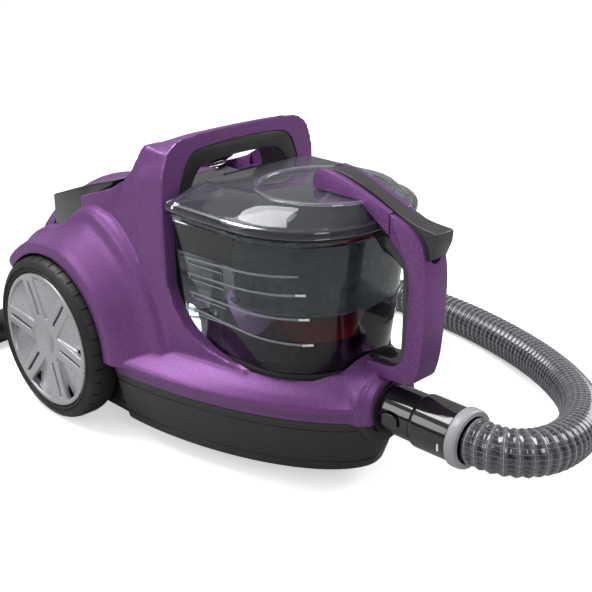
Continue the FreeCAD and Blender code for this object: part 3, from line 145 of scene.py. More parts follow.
def finished(name, bm, material, recalc=True, sharp=38):
    """Make an object of a bmesh, shaded smooth between its sharp edges."""
    if recalc:
        bmesh.ops.recalc_face_normals(bm, faces=bm.faces)
    mesh = bpy.data.meshes.new(name)
    bm.to_mesh(mesh)
    bm.free()
    obj = bpy.data.objects.new(name, mesh)
    bpy.context.scene.collection.objects.link(obj)
    if material:
        mesh.materials.append(material)
    shade(obj, sharp)
    return obj


def shade(obj, sharp=38):
    """Shade smooth, but keep edges over an angle in degrees sharp."""
    obj.data.shade_smooth()
    obj.data.set_sharp_from_angle(angle=math.radians(sharp))


def settle(obj, body, slot, *nodes):
    """Let a finished piece ride on its body and stand for its CAD nodes; the slot it is given is not used."""
    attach(obj, body)
    if nodes:
        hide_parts(*nodes)
    return obj


def put(name, bm, material, body, slot, *nodes):
    """Finish a bmesh in a material and settle it."""
    return settle(finished(name, bm, MATERIALS[material]), body, slot, *nodes)


def applied(obj):
    """Replace the object's mesh by what its modifiers make of it."""
    graph = bpy.context.evaluated_depsgraph_get()
    mesh = bpy.data.meshes.new_from_object(obj.evaluated_get(graph))
    old = obj.data
    obj.modifiers.clear()
    obj.data = mesh
    bpy.data.meshes.remove(old)
    return obj


def carved(obj, *tools):
    """Cut closed bmeshes out of an object."""
    for tool in tools:
        cutter = finished("cutter", tool, None)
        modifier = obj.modifiers.new("cut", "BOOLEAN")
        modifier.operation = "DIFFERENCE"
        modifier.solver = "MANIFOLD"
        modifier.object = cutter
        applied(obj)
        bpy.data.objects.remove(cutter)
    return obj


def melted(name, forms, voxel, passes, material):
    """Melt overlapping closed bmeshes into one smooth skin."""
    whole = bmesh.new()
    for form in forms:
        mesh = bpy.data.meshes.new("form")
        form.to_mesh(mesh)
        form.free()
        whole.from_mesh(mesh)
        bpy.data.meshes.remove(mesh)
    obj = softened(finished(name, whole, material), voxel, passes)
    shade(obj)
    return obj


def softened(obj, voxel, passes):
    """Remesh an object on a fine grid and smooth the result."""
    remesh = obj.modifiers.new("melt", "REMESH")
    remesh.mode = "VOXEL"
    remesh.voxel_size = voxel
    smooth = obj.modifiers.new("ease", "SMOOTH")
    smooth.factor = 0.5
    smooth.iterations = passes
    return applied(obj)


def loft(rings, hollow=False):
    """Bridge rings that have as many points each; close both ends or, if hollow, join them."""
    bm = bmesh.new()
    loops = []
    for ring in rings:
        verts = [bm.verts.new(point) for point in ring]
        loops.append([bm.edges.new(pair) for pair in zip(verts, verts[1:] + verts[:1])])
    for low, high in zip(loops, loops[1:]):
        bmesh.ops.bridge_loops(bm, edges=low + high)
    if hollow:
        bmesh.ops.bridge_loops(bm, edges=loops[0] + loops[-1])
    else:
        for end in (loops[0], loops[-1]):
            bmesh.ops.contextual_create(bm, geom=end)
    bmesh.ops.recalc_face_normals(bm, faces=bm.faces)
    return bm


def lathe(profile, centre, axis, radial, steps=96):
    """Spin (radius, along) pairs, in millimetres, round an axis."""
    bm = bmesh.new()
    axis, radial = Vector(axis), Vector(radial)
    verts = [bm.verts.new(centre + radial * (r * MM) + axis * (a * MM)) for r, a in profile]
    edges = [bm.edges.new(pair) for pair in zip(verts, verts[1:])]
    if profile[0][0] > 0.01 and profile[0] != profile[-1]:
        edges.append(bm.edges.new((verts[-1], verts[0])))
    bmesh.ops.spin(bm, geom=verts + edges, cent=centre, axis=axis, angle=math.tau, steps=steps,
                   use_merge=True)
    bmesh.ops.remove_doubles(bm, verts=bm.verts, dist=1e-6)
    bmesh.ops.dissolve_degenerate(bm, edges=bm.edges, dist=1e-7)
    bmesh.ops.recalc_face_normals(bm, faces=bm.faces)
    return bm


def inlet_lathe(profile, steps=96):
    """Spin (radius, distance ahead of the axle) pairs round the hose inlet's centre line."""
    return lathe(profile, at(0, 0, INLET_Z), (1, 0, 0), (0, 0, 1), steps)


def rod(centre, axis, radius, length, steps=48):
    """A plain round bar starting at a centre."""
    radial = Vector((0, 0, 1)) if abs(Vector(axis).z) < 0.5 else Vector((1, 0, 0))
    return lathe([(0, 0), (radius, 0), (radius, length), (0, length)], centre, axis, radial, steps)


def box_between(low, high):
    """A box between two corners."""
    bm = bmesh.new()
    bmesh.ops.create_cube(bm, size=1)
    bmesh.ops.scale(bm, vec=high - low, verts=bm.verts)
    bmesh.ops.translate(bm, vec=(low + high) / 2, verts=bm.verts)
    return bm


def block(low, high):
    """A box between two corners in millimetres from the axle."""
    return box_between(at(*low), at(*high))


def node_block(node, margin=0.0, reach=(0, 0, 0)):
    """A box round a CAD node, grown by a margin and by an extra reach on each axis."""
    low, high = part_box(node)
    grow = Vector([(margin + r) * MM for r in reach])
    return box_between(low - grow, high + grow)


def prism(top, bottom):
    """A closed solid between two outlines of as many points."""
    bm = bmesh.new()
    top, bottom = ([bm.verts.new(point) for point in outline] for outline in (top, bottom))
    bm.faces.new(top)
    bm.faces.new(reversed(bottom))
    for i in range(len(top)):
        j = (i + 1) % len(top)
        bm.faces.new((top[i], bottom[i], bottom[j], top[j]))
    bmesh.ops.recalc_face_normals(bm, faces=bm.faces)
    bmesh.ops.triangulate(bm, faces=bm.faces)
    return bm


def bar(bm, sections):
    """Skin a row of four-point sections and close both ends."""
    rails = [[bm.verts.new(point) for point in section] for section in sections]
    for a, b in zip(rails, rails[1:]):
        for j in range(4):
            k = (j + 1) % 4
            bm.faces.new((a[j], a[k], b[k], b[j]))
    bm.faces.new(rails[0])
    bm.faces.new(reversed(rails[-1]))


def cut_level(bm, z, upper):
    """Cut a bmesh level at z, keep its upper or lower part, and close that again."""
    bmesh.ops.bisect_plane(bm, geom=list(bm.verts) + list(bm.edges) + list(bm.faces), dist=1e-6,
                           plane_co=at(0, 0, z), plane_no=(0, 0, -1 if upper else 1), clear_outer=True)
    bmesh.ops.holes_fill(bm, edges=[e for e in bm.edges if e.is_boundary], sides=0)
    return bm


def eased(value, start, end):
    """Rise smoothly from 0 at the start to 1 at the end."""
    share = min(1.0, max(0.0, (value - start) / (end - start)))
    return share * share * (3 - 2 * share)


def bevelled(bm, geometry, width, segments, kind="EDGES"):
    """Round edges, or corners, by a width in millimetres."""
    bmesh.ops.bevel(bm, geom=geometry, offset=width * MM, offset_type="OFFSET", segments=segments,
                    profile=0.5, affect=kind, material=-1, clamp_overlap=True)
    return bm


def plate(outline, low, high, plane="XZ", edge=0.0, segments=3):
    """Extrude an outline of (u, v) or (u, v, corner radius) points between two offsets; round its rims."""
    outline = [(*point, 0)[:3] for point in outline]
    place = {"XZ": lambda u, v, w: at(u, w, v), "YZ": lambda u, v, w: at(w, u, v),
             "XY": lambda u, v, w: at(u, v, w)}[plane]
    bm = bmesh.new()
    verts = [bm.verts.new(place(u, v, low)) for u, v, _ in outline]
    bm.faces.new(verts)
    radii = sorted({r for _, _, r in outline if r > 0})
    for radius in radii:
        chosen = [vert for vert, point in zip(verts, outline) if point[2] == radius]
        bevelled(bm, chosen, radius, 6, "VERTICES")
    faces = list(bm.faces)
    grown = bmesh.ops.extrude_face_region(bm, geom=faces)
    moved = [g for g in grown["geom"] if isinstance(g, bmesh.types.BMVert)]
    bmesh.ops.translate(bm, verts=moved, vec=place(0, 0, high) - place(0, 0, low))
    bmesh.ops.recalc_face_normals(bm, faces=bm.faces)
    if edge:
        rounded(bm, edge, segments)
    return bm


def rounded(bm, width, segments=3, angle=50):
    """Bevel every edge that is sharper than an angle."""
    limit = math.radians(angle)
    edges = [e for e in bm.edges if len(e.link_faces) == 2 and e.calc_face_angle(0) > limit]
    return bevelled(bm, edges, width, segments)


def plan(back, centre, nose, half, power, z, corner=6.0, count=56):
    """An outline seen from above: straight sides, a rounded nose and small rear corners."""
    quarter = 5
    outline = []
    for i in range(quarter + 1):
        t = math.pi / 2 * i / quarter
        outline.append(at(back + corner * (1 - math.cos(t)), -half + corner * (1 - math.sin(t)), z))
    for i in range(count + 1):
        t = math.pi * (i / count - 0.5)
        x = centre + (nose - centre) * abs(math.cos(t)) ** (2 / power)
        y = math.copysign(half * abs(math.sin(t)) ** (2 / power), math.sin(t))
        outline.append(at(x, y, z))
    outline += [Vector((p.x, -p.y, p.z)) for p in reversed(outline[:quarter + 1])]
    return outline


# ---------------------------------------------------------------- finishes

class Finish:
    """A Principled material with short ways to add noise, bump and ramps."""

    def __init__(self, name, colour, roughness, **sockets):
        self.material = bpy.data.materials.new(name)
        self.material.use_nodes = True
        self.tree = self.material.node_tree
        self.shader = self.tree.nodes["Principled BSDF"]
        self.shader.inputs["Base Color"].default_value = (*colour, 1)
        self.shader.inputs["Roughness"].default_value = roughness
        for key, value in sockets.items():
            self.shader.inputs[key.replace("_", " ").title().replace("Ior", "IOR")].default_value = value
        self.colour = colour
        self.where = self.add("ShaderNodeTexCoord").outputs["Object"]

    def add(self, kind, **values):
        node = self.tree.nodes.new(kind)
        for key, value in values.items():
            setattr(node, key, value)
        return node

    def link(self, source, target):
        self.tree.links.new(source, target)

    def noise(self, scale, detail=2.0, stretch=None):
        node = self.add("ShaderNodeTexNoise")
        node.inputs["Scale"].default_value = scale
        node.inputs["Detail"].default_value = detail
        source = self.where
        if stretch:
            mapping = self.add("ShaderNodeMapping")
            mapping.inputs["Scale"].default_value = stretch
            self.link(source, mapping.inputs["Vector"])
            source = mapping.outputs["Vector"]
        self.link(source, node.inputs["Vector"])
        return node.outputs["Fac"]

    def spread(self, source, low, high, start=0.3, end=0.7):
        """Map a factor to a range."""
        node = self.add("ShaderNodeMapRange")
        for key, value in (("From Min", start), ("From Max", end), ("To Min", low), ("To Max", high)):
            node.inputs[key].default_value = value
        self.link(source, node.inputs["Value"])
        return node.outputs["Result"]

    def mix(self, factor, first, second):
        node = self.add("ShaderNodeMix", data_type="RGBA")
        for index, value in ((6, first), (7, second)):
            if isinstance(value, bpy.types.NodeSocket):
                self.link(value, node.inputs[index])
            else:
                node.inputs[index].default_value = (*value, 1)
        self.link(factor, node.inputs[0])
        return node.outputs[2]

    def vary_colour(self, scale, share, detail=2.0):
        """Lighten and darken the colour by a share, in soft patches."""
        dark = [c * (1 - share) for c in self.colour]
        light = [min(1, c * (1 + share)) for c in self.colour]
        self.link(self.mix(self.spread(self.noise(scale, detail), 0, 1), dark, light),
                  self.shader.inputs["Base Color"])
        return self

    def vary_roughness(self, scale, low, high):
        self.link(self.spread(self.noise(scale, 3.0), low, high), self.shader.inputs["Roughness"])
        return self

    def grain(self, scale, strength, distance=0.0002, detail=2.0):
        bump = self.add("ShaderNodeBump")
        bump.inputs["Strength"].default_value = strength
        bump.inputs["Distance"].default_value = distance
        self.link(self.noise(scale, detail), bump.inputs["Height"])
        self.link(bump.outputs["Normal"], self.shader.inputs["Normal"])
        return self

    def math(self, operation, first, second=0.0):
        node = self.add("ShaderNodeMath", operation=operation)
        for index, value in enumerate((first, second)):
            if isinstance(value, bpy.types.NodeSocket):
                self.link(value, node.inputs[index])
            else:
                node.inputs[index].default_value = value
        return node.outputs[0]

    def lets_light_through(self):
        """Let lamps shine through clear plastic."""
        output = self.tree.nodes["Material Output"]
        path = self.add("ShaderNodeLightPath")
        clear = self.add("ShaderNodeBsdfTransparent")
        clear.inputs["Color"].default_value = (*[math.sqrt(c) for c in self.colour], 1)
        mixer = self.add("ShaderNodeMixShader")
        self.link(path.outputs["Is Shadow Ray"], mixer.inputs[0])
        self.link(self.shader.outputs[0], mixer.inputs[1])
        self.link(clear.outputs[0], mixer.inputs[2])
        self.link(mixer.outputs[0], output.inputs["Surface"])
        return self


def satin_metallic(name, colour):
    """Satin lacquer with fine metal flakes."""
    finish = Finish(name, colour, 0.4, metallic=0.55, coat_weight=0.15, coat_roughness=0.35)
    flakes = finish.noise(1500, 1.0)
    dark = [c * 0.72 for c in colour]
    light = [min(1, c * 1.42 + 0.012) for c in colour]
    fine = finish.mix(finish.spread(flakes, 0, 1, 0.35, 0.65), dark, light)
    finish.link(fine, finish.shader.inputs["Base Color"])
    finish.link(finish.spread(finish.noise(60, 3.0), 0.38, 0.46), finish.shader.inputs["Roughness"])
    finish.grain(1500, 0.10, 0.0001, 1.0)
    return finish.material


def moulded(name, colour, roughness, grain=0.2, scale=900, **sockets):
    """Textured moulded plastic."""
    finish = Finish(name, colour, roughness, **sockets)
    finish.vary_colour(35, 0.12).vary_roughness(90, roughness - 0.05, roughness + 0.06)
    return finish.grain(scale, grain).material


def polished(name, colour, roughness=0.06, **sockets):
    """Polished plastic with faint handling marks."""
    finish = Finish(name, colour, roughness, **sockets)
    finish.vary_colour(18, 0.1)
    finish.vary_roughness(45, roughness * 0.7, roughness * 1.9)
    return finish.grain(22, 0.02, 0.0004).material


def clear(name, colour, roughness=0.02, haze=0.0):
    """Clear tinted plastic; haze is the share that stays milky."""
    finish = Finish(name, colour, roughness, transmission_weight=1.0 - haze, ior=1.4)
    finish.grain(14, 0.03, 0.0005)
    return finish.lets_light_through().material


def rubber(name, colour):
    """Dull rubber, a little patchy."""
    finish = Finish(name, colour, 0.5, specular_ior_level=0.35)
    finish.vary_colour(70, 0.25).vary_roughness(120, 0.42, 0.6)
    return finish.grain(700, 0.25, 0.0003).material


def metal(name, colour, roughness, stretch=(1, 1, 1)):
    """Turned or brushed metal."""
    finish = Finish(name, colour, roughness, metallic=1.0)
    finish.link(finish.spread(finish.noise(160, 4.0, stretch), roughness * 0.7, roughness * 1.5),
                finish.shader.inputs["Roughness"])
    return finish.grain(260, 0.12, 0.0001).material


def ribbed_hose(name, cells_long, cells_round):
    """Clear grey wall with light yarns lengthways; between the ribs the dark inside is painted on as painted shade.
    """
    finish = Finish(name, (0.07, 0.07, 0.085), 0.16, coat_weight=0.5, coat_roughness=0.08)
    uv = finish.add("ShaderNodeUVMap", uv_map="along")
    split = finish.add("ShaderNodeSeparateXYZ")
    finish.link(uv.outputs["UV"], split.inputs[0])
    along = finish.math("MULTIPLY", split.outputs["X"], cells_long)
    turned = finish.math("SUBTRACT", along, split.outputs["Y"])
    rib = finish.math("ABSOLUTE", finish.math("SUBTRACT", finish.math("FRACT", turned), 0.5))
    around = finish.math("FRACT", finish.math("MULTIPLY", split.outputs["Y"], cells_round))
    yarn = finish.math("ABSOLUTE", finish.math("SUBTRACT", around, 0.5))
    # painted shade: the valleys between the ribs are painted near black, in random patches, for the unlit inside of
    # the hose
    shade_patch = finish.noise(190, 2.0)
    patches = finish.spread(shade_patch, 0, 1, 0.4, 0.6)
    dark = finish.mix(patches, (0.008, 0.008, 0.014), (0.05, 0.05, 0.065))
    # the rib crests keep the wall's grey, and the valleys take the painted shade
    valley = finish.mix(finish.spread(rib, 0, 1, 0.2, 0.3), dark, (0.085, 0.087, 0.1))
    body = finish.mix(finish.spread(yarn, 0, 1, 0.45, 0.47), valley, (0.2, 0.205, 0.22))
    finish.link(body, finish.shader.inputs["Base Color"])
    finish.link(finish.spread(finish.noise(400, 2.0), 0.1, 0.24), finish.shader.inputs["Roughness"])
    return finish.material


MATERIALS = {}


def make_finishes():
    """Fill MATERIALS with a finish for each material slot and a few more for the modelled pieces."""
    shell = bpy.context.scene.vacuum_shell
    wheel = bpy.context.scene.vacuum_wheels
    clear_bin = bpy.context.scene.vacuum_bin
    MATERIALS.update({
        "purple_shell": satin_metallic("satin_purple", shell.colour),
        "charcoal": moulded("charcoal_base", (0.014, 0.0138, 0.0145), 0.42, 0.12),
        "black_matte": moulded("matt_black", (0.006, 0.006, 0.0065), 0.45, 0.2),
        "lever_grey": moulded("lever_grey", (0.026, 0.026, 0.028), 0.34, 0.15),
        "black_gloss": polished("gloss_black", (0.008, 0.008, 0.009), 0.07, coat_weight=0.5),
        "silver": Finish("silver_paint", wheel.cap_colour, 0.3, metallic=0.55, coat_weight=0.3)
        .vary_colour(900, 0.05).vary_roughness(50, 0.26, 0.36).grain(900, 0.05, 0.0001).material,
        "tyre": rubber("tyre_rubber", (0.012, 0.012, 0.012)),
        "steel": metal("turned_steel", (0.56, 0.56, 0.57), 0.28),
        "smoke_clear": clear("smoked_clear", clear_bin.tint),
        "red": polished("deep_red", (0.26, 0.006, 0.014), 0.14, coat_weight=0.3),
        "shroud_grey": moulded("shroud_grey", (0.07, 0.085, 0.084), 0.28, 0.1),
        "mesh": screen("fine_screen"),
        "seal": rubber("seal_rubber", (0.01, 0.01, 0.01)),
        "foam": Finish("open_foam", (0.06, 0.06, 0.065), 0.95).vary_colour(600, 0.6)
        .grain(900, 0.9, 0.001).material,
        "filter_paper": Finish("filter_paper", (0.72, 0.71, 0.66), 0.85).vary_colour(300, 0.08)
        .grain(500, 0.5, 0.0005).material,
        "grey_ring": moulded("light_grey_ring", (0.34, 0.345, 0.36), 0.34, 0.08),
        "copper_board": Finish("circuit_board", (0.02, 0.12, 0.05), 0.35).vary_colour(260, 0.5).material,
        "light_mark": moulded("light_mark", (0.78, 0.79, 0.8), 0.35, 0.05),
        "smoke_lid": clear("smoked_clear_lid", (0.6, 0.62, 0.66), haze=0.03),
        "smoke_rib": clear("smoked_clear_rib", (0.5, 0.52, 0.56), haze=0.3),
        "duct_smoke": polished("smoked_duct", (0.02, 0.02, 0.026), 0.1),
    })


def screen(name):
    """A fine woven metal screen."""
    finish = Finish(name, (0.3, 0.3, 0.31), 0.35, metallic=0.8)
    checks = finish.add("ShaderNodeTexChecker")
    checks.inputs["Scale"].default_value = 700
    finish.link(finish.where, checks.inputs["Vector"])
    finish.link(finish.mix(checks.outputs["Fac"], (0.04, 0.04, 0.04), (0.42, 0.42, 0.43)),
                finish.shader.inputs["Base Color"])
    return finish.material


# ---------------------------------------------------------------- stage

class Builder:
    """What the operators that build pieces share."""
    bl_options = {"REGISTER", "UNDO"}


class VACUUM_OT_stage(Builder, Operator):
    """Floor, soft lights and camera"""
    bl_idname = "vacuum.stage"
    bl_label = "Stage"

    def execute(self, context):
        settings = context.scene.vacuum_stage
        make_camera(context.scene)
        floor = bmesh.new()
        bmesh.ops.create_grid(floor, x_segments=1, y_segments=1, size=6)
        bmesh.ops.translate(floor, vec=(0, 0, -0.0006), verts=floor.verts)
        finished("floor", floor, self.floor_finish(settings), recalc=False)
        context.scene.world = self.studio()
        context.scene.view_settings.view_transform = "Standard"
        target = Vector((0, 0, 0.15))
        for name, place, size, power in (
                ("key", (-0.5, -0.35, 1.35), 0.9, settings.key_power),
                ("side", (-0.9, -1.5, 0.75), 0.8, settings.key_power * 0.3),
                ("rim", (0.7, 1.3, 0.9), 0.8, settings.key_power * 0.6),
                ("front", (1.4, -0.6, 0.9), 0.5, settings.key_power * 0.2)):
            lamp = bpy.data.lights.new(name, "AREA")
            lamp.shape = "DISK"
            lamp.size = size
            lamp.energy = power
            light = bpy.data.objects.new(name, lamp)
            light.location = place
            light.rotation_euler = (target - light.location).to_track_quat("-Z", "Y").to_euler()
            context.scene.collection.objects.link(light)
        return {"FINISHED"}

    def floor_finish(self, settings):
        """A pale floor that throws little light back up at the object."""
        finish = Finish("pale_floor", settings.floor, 0.6).vary_roughness(3, 0.55, 0.65)
        path = finish.add("ShaderNodeLightPath")
        dim = finish.add("ShaderNodeBsdfDiffuse")
        dim.inputs["Color"].default_value = (*[c * 0.5 for c in settings.floor], 1)
        glow = finish.add("ShaderNodeEmission")
        glow.inputs["Strength"].default_value = 0.55
        lit = finish.add("ShaderNodeAddShader")
        finish.link(finish.shader.outputs[0], lit.inputs[0])
        finish.link(glow.outputs[0], lit.inputs[1])
        mixer = finish.add("ShaderNodeMixShader")
        finish.link(path.outputs["Is Camera Ray"], mixer.inputs[0])
        finish.link(dim.outputs[0], mixer.inputs[1])
        finish.link(lit.outputs[0], mixer.inputs[2])
        finish.link(mixer.outputs[0], finish.tree.nodes["Material Output"].inputs["Surface"])
        return finish.material

    def studio(self):
        """A white room: bright overhead, dimmer towards the floor."""
        world = bpy.data.worlds.new("soft_white")
        world.use_nodes = True
        nodes, links = world.node_tree.nodes, world.node_tree.links
        background = nodes["Background"]
        where = nodes.new("ShaderNodeTexCoord")
        split = nodes.new("ShaderNodeSeparateXYZ")
        fade = nodes.new("ShaderNodeMapRange")
        for key, value in (("From Min", -0.1), ("From Max", 0.9), ("To Min", 0.1), ("To Max", 0.75)):
            fade.inputs[key].default_value = value
        path = nodes.new("ShaderNodeLightPath")
        mixer = nodes.new("ShaderNodeMix")
        mixer.inputs[3].default_value = 1.0
        links.new(where.outputs["Generated"], split.inputs[0])
        links.new(split.outputs["Z"], fade.inputs["Value"])
        links.new(path.outputs["Is Camera Ray"], mixer.inputs[0])
        links.new(fade.outputs["Result"], mixer.inputs[2])
        links.new(mixer.outputs[0], background.inputs["Strength"])
        background.inputs["Color"].default_value = (1, 1, 1, 1)
        return world


def make_camera(scene):
    """A three-quarter view from the front right, a little above the handle."""
    place, look, roll = Vector((0.7914, -0.7127, 0.5750)), Vector((0.0621, 0, 0.1691)), -0.6
    data = bpy.data.cameras.new("camera")
    data.lens = 66.4
    data.sensor_width = 36
    camera = bpy.data.objects.new("camera", data)
    facing = (look - place).to_track_quat("-Z", "Y").to_matrix().to_4x4()
    camera.matrix_world = Matrix.Translation(place) @ facing @ Matrix.Rotation(math.radians(roll), 4, "Z")
    scene.collection.objects.link(camera)
    scene.camera = camera


# ---------------------------------------------------------------- hose

HOSE_ROUTE = [
    (468.3, 0, 92), (487, 0, 91.7), (504, 8, 90.5), (516, 24, 88.5), (521, 46, 85.5), (519, 72, 81),
    (512, 101, 75.5), (499, 132, 69), (480, 167, 61), (453, 204, 52), (417, 242, 42.5), (374, 278, 34),
    (322, 311, 27), (261, 337, 23), (193, 354, 22), (121, 361, 22), (48, 357, 22), (-25, 341, 22),
    (-90, 310, 22), (-145, 267, 22), (-187, 214, 22), (-214, 153, 22), (-227, 91, 22), (-229, 29, 22),
    (-224, -31, 22),
]


class Route:
    """The hose's centre line with a frame that doesn't twist."""

    def __init__(self, points):
        self.points = points
        self.lengths = [0.0]
        for a, b in zip(points, points[1:]):
            self.lengths.append(self.lengths[-1] + (b - a).length)
        self.length = self.lengths[-1]
        self.frames = []
        side = Vector((0, 1, 0))
        for i in range(len(points)):
            before, after = points[max(i - 1, 0)], points[min(i + 1, len(points) - 1)]
            ahead = (after - before).normalized()
            side = (side - ahead * side.dot(ahead)).normalized()
            self.frames.append((side.copy(), ahead.cross(side)))

    def place(self, distance, angle, radius):
        """The point at a distance along, an angle round and a radius out."""
        low, high = 0, len(self.points) - 1
        while high - low > 1:
            middle = (low + high) // 2
            if self.lengths[middle] <= distance:
                low = middle
            else:
                high = middle
        share = (distance - self.lengths[low]) / (self.lengths[high] - self.lengths[low])
        centre = self.points[low].lerp(self.points[high], share)
        across = self.frames[low][0].lerp(self.frames[high][0], share).normalized()
        upward = self.frames[low][1].lerp(self.frames[high][1], share).normalized()
        return centre + (across * math.cos(angle) + upward * math.sin(angle)) * radius


def hose_route():
    """The hose's centre line as a smooth curve through HOSE_ROUTE."""
    curve = bpy.data.curves.new("hose_route", "CURVE")
    curve.dimensions = "3D"
    curve.resolution_u = 16
    spline = curve.splines.new("NURBS")
    spline.points.add(len(HOSE_ROUTE) - 1)
    for control, point in zip(spline.points, HOSE_ROUTE):
        control.co = (*at(*point), 1)
    spline.order_u = 3
    spline.use_endpoint_u = True
    line = bpy.data.objects.new("hose_route", curve)
    mesh = bpy.data.meshes.new_from_object(line)
    points = [vertex.co.copy() for vertex in mesh.vertices]
    bpy.data.objects.remove(line)
    bpy.data.curves.remove(curve)
    bpy.data.meshes.remove(mesh)
    return Route(points)


class VACUUM_OT_hose(Builder, Operator):
    """Ribbed hose along its route, with its wire spiral"""
    bl_idname = "vacuum.hose"
    bl_label = "Hose"

    def execute(self, context):
        settings = context.scene.vacuum_hose
        route = hose_route()
        outer = settings.diameter / 2
        turns = round(route.length / settings.pitch)
        bm = bmesh.new()
        bm.loops.layers.uv.new("along")
        steps, round_steps = turns * 7, 44
        bmesh.ops.create_grid(bm, x_segments=steps, y_segments=round_steps, size=0.5, calc_uvs=True)
        uv = bm.loops.layers.uv["along"]
        for face in bm.faces:
            for loop in face.loops:
                loop[uv].uv = (loop.vert.co.x + 0.5, loop.vert.co.y + 0.5)
        for vert in bm.verts:
            along, turn = vert.co.x + 0.5, vert.co.y + 0.5
            wave = 0.5 + 0.5 * math.cos(math.tau * (along * turns - turn))
            radius = outer - settings.ribs_deep * (1 - wave ** 0.7)
            vert.co = route.place(along * route.length, turn * math.tau, radius)
        bmesh.ops.remove_doubles(bm, verts=bm.verts, dist=1e-6)
        material = ribbed_hose("clear_ribbed_hose", turns, settings.yarns)
        hose = finished("ribbed_hose", bm, material, sharp=180)
        settle(hose, "hose", "hose_grey", "hose")
        self.wire(route, turns, outer)
        return {"FINISHED"}

    def wire(self, route, turns, outer):
        """The thin bright spiral on the crest of the ribs."""
        curve = bpy.data.curves.new("hose_spiral", "CURVE")
        curve.dimensions = "3D"
        curve.bevel_depth = 0.00042
        curve.bevel_resolution = 0
        per_turn = 20
        count = turns * per_turn
        spline = curve.splines.new("POLY")
        spline.points.add(count)
        for i, point in enumerate(spline.points):
            share = min(i / count, 0.9999)
            point.co = (*route.place(share * route.length, math.tau * i / per_turn, outer - 0.0001), 1)
        wire = bpy.data.objects.new("hose_spiral", curve)
        bpy.context.scene.collection.objects.link(wire)
        curve.materials.append(MATERIALS["grey_ring"])
        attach(wire, "hose")


# ---------------------------------------------------------------- cover and tub

FENDER = ((94.5, 98), (94.5, 137), (105, 137), (110, 136.4), (118, 132), (128, 124), (138, 116.5),
          (146, 112.5), (153, 111), (158, 110), (162, 107.5), (166, 103), (168, 98))


